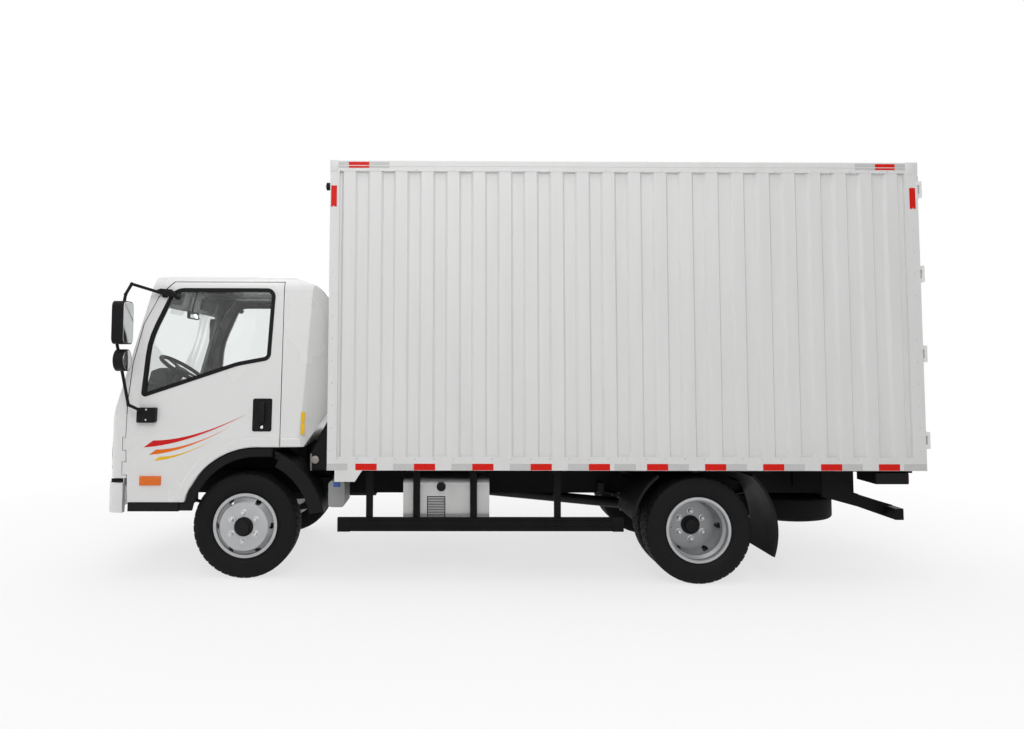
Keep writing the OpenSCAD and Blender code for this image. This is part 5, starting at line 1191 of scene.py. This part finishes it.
PAD_GROW_CAP = 0.024
PAD_VOXEL = 0.012
PAD_PRESSURE = 4.0
PAD_STIFFNESS = 20.0
PAD_FRAMES = 20
PAD_INSET = 16.0
CUSHION_X = (-150.0, 326.0)
CUSHION_Z = (1026.0, 1128.0)
BACK_X = (-216.0, -130.0)
BACK_Z = (1120.0, 1600.0)
BACK_LEAN = 0.16
TRAY_X = (-178.0, 330.0)
TRAY_Z = (1006.0, 1024.0)
HINGE_X = (-232.0, -190.0)
HINGE_Z = (1024.0, 1110.0)
# Name, middle, half width and the node that the cushion stands for
SEATS = (("driver", 450.0, 250.0, ("seats",)), ("bench", -330.0, 450.0, ()))
HEADRESTS = (("driver_headrest", 450.0), ("bench_headrest_outer", -560.0), ("bench_headrest_middle", -110.0))
HEADREST_X = (-318.0, -238.0)
HEADREST_HALF_W = 115.0
HEADREST_Z = (1655.0, 1788.0)
HEADREST_LEAN = 0.1
POST_HALF = 60.0
INNER_MIRROR_X = (706.0, 734.0)
INNER_MIRROR_HALF_W = 125.0
INNER_MIRROR_Z = (1958.0, 2022.0)
VENTS_Y = (-520.0, -250.0, 700.0)
VENT_SLATS = 4
PANEL_DEPTH = (-7, 0, 1.5)
LEVER_Y = 130.0
VISORS_Y = (430.0, -430.0)
VISOR_HALF_W = 190.0


def own_mesh(made):
    """The mesh of an object with its modifiers, as a mesh of its own."""
    return bpy.data.meshes.new_from_object(made.evaluated_get(bpy.context.evaluated_depsgraph_get()))


def swollen(made):
    """Blows a pad up as cloth and keeps each point near its start."""
    remesh = made.modifiers.new("remesh", "REMESH")
    remesh.mode = "VOXEL"
    remesh.voxel_size = PAD_VOXEL
    plain = own_mesh(made)
    made.modifiers.clear()
    made.data = plain
    start = [v.co.copy() for v in plain.vertices]
    cloth = made.modifiers.new("cloth", "CLOTH")
    cloth.settings.quality = 5
    cloth.settings.mass = 0.3
    cloth.settings.tension_stiffness = PAD_STIFFNESS
    cloth.settings.compression_stiffness = PAD_STIFFNESS
    cloth.settings.use_pressure = True
    cloth.settings.uniform_pressure_force = PAD_PRESSURE
    cloth.settings.effector_weights.gravity = 0.0
    cloth.point_cache.frame_start = 1
    cloth.point_cache.frame_end = PAD_FRAMES
    for step in range(1, PAD_FRAMES + 1):
        bpy.context.scene.frame_set(step)
    seen = made.evaluated_get(bpy.context.evaluated_depsgraph_get())
    ends = [v.co.copy() for v in seen.data.vertices]
    made.modifiers.clear()
    bpy.context.scene.frame_set(1)
    for v, a, b in zip(plain.vertices, start, ends):
        move = b - a
        if move.length > PAD_GROW_CAP:
            move *= PAD_GROW_CAP / move.length
        v.co = a + move
    plain.shade_smooth()


def pad(name, bm, replaced=()):
    """A stuffed piece of a seat."""
    made = piece(name, bm, "cab", seat_cloth, replaces=replaced)
    swollen(made)
    made.data.materials.clear()
    made.data.materials.append(seat_cloth)
    finer = made.modifiers.new("round", "SUBSURF")
    finer.levels = 1
    finer.render_levels = 1


def add_pad_box(bm, low, high, lean=0.0, bevel=40.0):
    """A pad's starting block, leaning back by a share of its height above its foot."""
    add_box(bm, low, high, bevel, 3)
    foot = low[2] / MM_PER_M
    for v in bm.verts:
        v.co.x -= (v.co.z - foot) * lean


def seats():
    for name, y, half_w, replaced in SEATS:
        across = (y - half_w + PAD_INSET, y + half_w - PAD_INSET)
        cushion, back, base = bmesh.new(), bmesh.new(), bmesh.new()
        add_pad_box(cushion, *corners(CUSHION_X, across, CUSHION_Z))
        pad(name + "_cushion", cushion, replaced)
        add_pad_box(back, *corners(BACK_X, across, BACK_Z), BACK_LEAN)
        pad(name + "_back", back)
        for along, inset, up in ((TRAY_X, 4.0, TRAY_Z), (HINGE_X, 30.0, HINGE_Z)):
            add_box(base, *corners(along, (y - half_w + inset, y + half_w - inset), up), 6.0)
        piece(name + "_seat_base", base, "cab", cab_trim)
    for name, y in HEADRESTS:
        rest, posts = bmesh.new(), bmesh.new()
        across = (y - HEADREST_HALF_W, y + HEADREST_HALF_W)
        add_pad_box(rest, *corners(HEADREST_X, across, HEADREST_Z), HEADREST_LEAN, 30.0)
        pad(name, rest)
        for post_y in (y - POST_HALF, y + POST_HALF):
            add_rod(posts, (-252, post_y, 1590), (-276, post_y, 1690), 6.0, 12)
        piece(name + "_posts", posts, "cab", chrome)


def inner_mirror():
    shell, face = bmesh.new(), bmesh.new()
    low, high = INNER_MIRROR_Z
    add_box(shell, *corners(INNER_MIRROR_X, either_way(INNER_MIRROR_HALF_W), INNER_MIRROR_Z), 12.0, 3)
    add_tube(shell, [(730, 0, 1996), (724, 0, 2060), (684, 0, 2215)], 7.0, 12)
    piece("inner_mirror", shell, "cab", black_plastic)
    face_x = (INNER_MIRROR_X[0] - 2.0, INNER_MIRROR_X[0] - 0.4)
    add_box(face, *corners(face_x, either_way(INNER_MIRROR_HALF_W - 9.0), (low + 9.0, high - 9.0)), 0.5)
    piece("inner_mirror_face", face, "cab", mirror_glass)


def pillar_grips():
    bm = bmesh.new()
    add_tube(bm, [(812, 838, 1752), (762, 828, 1752), (744, 824, 1775), (732, 818, 1890), (742, 816, 1916),
                  (772, 816, 1918)], 11.0, 14)
    both_sides(bm)
    piece("pillar_grips", bm, "cab", cab_trim)


def add_leaning_panel(bm, y, half_w, foot, top, depth, bevel):
    """A flat panel between a foot and a top (x, z), thickened by a vector."""
    outline = [(foot[0], y - half_w, foot[1]), (foot[0], y + half_w, foot[1]),
               (top[0], y + half_w, top[1]), (top[0], y - half_w, top[1])]
    add_plate(bm, outline, depth, bevel)


def dash_fittings():
    """Black panels of the dashboard, with slatted vents and two knobs."""
    panels, vents = bmesh.new(), bmesh.new()
    add_leaning_panel(panels, 0.0, 115.0, (621.5, 1192), (645.5, 1306), PANEL_DEPTH, 2.0)
    for y in VENTS_Y:
        add_leaning_panel(panels, y, 60.0, (634, 1250), (648, 1316), PANEL_DEPTH, 2.0)
    piece("dash_panels", panels, "cab", black_plastic)
    for y in VENTS_Y:
        for i in range(VENT_SLATS):
            x, z = 629.0 + 3.2 * i, 1260.0 + 15.0 * i
            add_box(vents, (x - 4.5, y - 52, z), (x + 0.5, y + 52, z + 5.0), 1.0, 1)
    for y in (-70.0, 70.0):
        add_rod(vents, (625, y, 1240), (609, y, 1237), 15.0, 20, 2.0)
    piece("dash_vents", vents, "cab", cab_trim)


def gear_lever():
    bm = bmesh.new()
    add_tube(bm, [(560, LEVER_Y, 790), (545, LEVER_Y, 960), (500, LEVER_Y, 1120)], 9.0, 12)
    knob = [(0.01, -30), (20, -24), (28, 0), (22, 22), (0.01, 28)]
    add_spun(bm, knob, (494, LEVER_Y, 1140), (-0.3, 0, 1), 20)
    boot = [(70, 0), (60, 22), (42, 44), (30, 70), (12, 92), (0.01, 92), (0.01, 0)]
    add_spun(bm, boot, (560, LEVER_Y, 786), UP, 24, closed=True)
    piece("gear_lever", bm, "cab", black_plastic)


def visors():
    bm = bmesh.new()
    for y in VISORS_Y:
        add_leaning_panel(bm, y, VISOR_HALF_W, (748, 2062), (716, 2160), (-14, 0, -4), 4.0)
    piece("visors", bm, "cab", cab_trim)


seats()
inner_mirror()
pillar_grips()
dash_fittings()
gear_lever()
visors()

# Under the box: tank fittings, air duct, side guards and rear plates

TANK_OUT = 960.0
TANK_PANEL_X = (-1478.0, -1344.0)
TANK_PANEL_Z = (455.0, 612.0)
TANK_CAP = (-1447.2, 683.3)
TANK_RIBS = 13
TANK_RIB_PITCH = 11.6
TANK_RIB_H = 5.4
DUCT_Y = (520.0, 830.0)
DUCT_REAR_X = -616.0
DUCT_RIBS = 4
DUCT_RIB_FIRST_Y = 556.0
DUCT_RIB_STEP = 70.0
GUARD_FACE_Y = 1015.2
GUARD_RIBS_Z = (396.0, 438.0)
GUARD_BOLTS_X = (-927.7, -1269.3, -1683.3, -2293.9)
GUARD_BOLTS_Z = (380.0, 455.0)
GUARD_ENDS = ((-790.0, -698.5), (-2771.5, -2690.0))
GUARD_END_Z = (367.0, 470.0)
UNDERRUN_FACE_X = -4817.3
REAR_PLATE_HALF_W = 226.0
REAR_PLATE_Z = (458.0, 526.0)
UNDERRUN_TAPE_Z = (466.0, 516.0)
UNDERRUN_TAPE_HALF = 75.0
UNDERRUN_TAPE_Y = (-900.0, -640.0, -400.0, 400.0, 640.0, 900.0)


def tank_details():
    """Dark panel with pale ribs on the tank's side, and the filler cap."""
    panel, ribs, cap = bmesh.new(), bmesh.new(), bmesh.new()
    rear, front = TANK_PANEL_X
    add_box(panel, *corners(TANK_PANEL_X, (TANK_OUT + 0.2, TANK_OUT + 2.0), TANK_PANEL_Z), 0.8)
    piece("tank_panel", panel, "chassis", black_plastic)
    for i in range(TANK_RIBS):
        z = TANK_PANEL_Z[0] + 6.0 + TANK_RIB_PITCH * i
        add_box(ribs, (rear + 6, TANK_OUT + 2.0, z), (front - 6, TANK_OUT + 4.0, z + TANK_RIB_H), 0.6, 1)
    piece("tank_panel_ribs", ribs, "chassis", tank_paint)
    profile = [(0.01, 20.0), (24.0, 19.0), (31.0, 15.0), (33.0, 9.0), (33.0, 0.0), (0.01, 0.0)]
    add_spun(cap, profile, (TANK_CAP[0], TANK_OUT + 17.3, TANK_CAP[1]), OUT, 32, closed=True)
    piece("tank_cap", cap, "chassis", black_plastic)


def intake():
    """Air cleaner and its duct behind the cab, held from the left rail."""
    duct, bracket, hose, cap = (bmesh.new() for _ in range(4))
    outline = [(-452, 772), (-452, 902), (-588, 1150), (DUCT_REAR_X, 1176), (DUCT_REAR_X, 772)]
    add_side_plate(duct, outline, *DUCT_Y, 14.0)
    for i in range(DUCT_RIBS):
        y = DUCT_RIB_FIRST_Y + DUCT_RIB_STEP * i
        add_box(duct, (DUCT_REAR_X - 6, y, 800), (DUCT_REAR_X - 0.2, y + 22, 1120), 2.0)
    piece("air_duct", duct, "chassis", black_plastic)
    add_box(bracket, (-600, 376, 700), (-470, 700, 708), 2.0)
    add_box(bracket, (-600, 640, 708), (-470, 648, 771), 2.0)
    piece("duct_bracket", bracket, "chassis", chassis_black)
    add_tube(hose, [(-540, 600, 770), (-545, 540, 742), (-560, 440, 745), (-560, 300, 760)], 38.0, 20)
    piece("duct_hose", hose, "chassis", seal_rubber)
    rod_y = DUCT_Y[1] + 8.2
    add_rod(cap, (-470, rod_y, 780), (-470, rod_y, 905), 8.0, 12)
    add_rod(cap, (-500, DUCT_Y[1] + 0.2, 860), (-500, DUCT_Y[1] + 16, 860), 30.0, 28, 3.0)
    piece("duct_cap", cap, "chassis", pipe_steel)


def urea_cap():
    """Blue cap over the small tank's neck, and a blue patch on its side."""
    bm = bmesh.new()
    profile = [(26.5, -22.0), (31.0, -22.0), (31.0, 8.0), (28.0, 12.0), (0.01, 12.0), (0.01, 0.4),
               (26.5, 0.4)]
    add_spun(bm, profile, (-672, 848, 736), UP, 28, closed=True)
    add_box(bm, (-700, 900.2, 668), (-648, 903.5, 702), 1.4)
    piece("urea_cap", bm, "chassis", blue_plastic)


def guard_trim():
    """Rolled ribs along the side guards, their end caps and bolts."""
    ribs, bolts = bmesh.new(), bmesh.new()
    for z in GUARD_RIBS_Z:
        add_box(ribs, (-2688, GUARD_FACE_Y, z), (-792, GUARD_FACE_Y + 3, z + 9), 1.4, 1)
    for along in GUARD_ENDS:
        add_box(ribs, *corners(along, (GUARD_FACE_Y, GUARD_FACE_Y + 4.3), GUARD_END_Z), 2.0)
    both_sides(ribs)
    piece("guard_ribs", ribs, "chassis", chassis_black)
    for x in GUARD_BOLTS_X:
        for z in GUARD_BOLTS_Z:
            add_rod(bolts, (x, GUARD_FACE_Y, z), (x, GUARD_FACE_Y + 4.4, z), 8.0, 6, 1.0)
    both_sides(bolts)
    piece("guard_bolts", bolts, "chassis", chassis_black, smooth=False)


def rear_details():
    """Blank rear plate and reflective tape on the underrun bar."""
    plate, tape = bmesh.new(), bmesh.new()
    plate_x = (UNDERRUN_FACE_X - 2.1, UNDERRUN_FACE_X)
    add_box(plate, *corners(plate_x, either_way(REAR_PLATE_HALF_W), REAR_PLATE_Z), 0.6)
    piece("rear_plate", plate, "chassis", plate_white)
    tape_x = (UNDERRUN_FACE_X - 1.5, UNDERRUN_FACE_X)
    for y in UNDERRUN_TAPE_Y:
        across = (y - UNDERRUN_TAPE_HALF, y + UNDERRUN_TAPE_HALF)
        add_box(tape, *corners(tape_x, across, UNDERRUN_TAPE_Z), 0.4)
    piece("underrun_tape", tape, "chassis", tape_red)


tank_details()
intake()
urea_cap()
guard_trim()
rear_details()
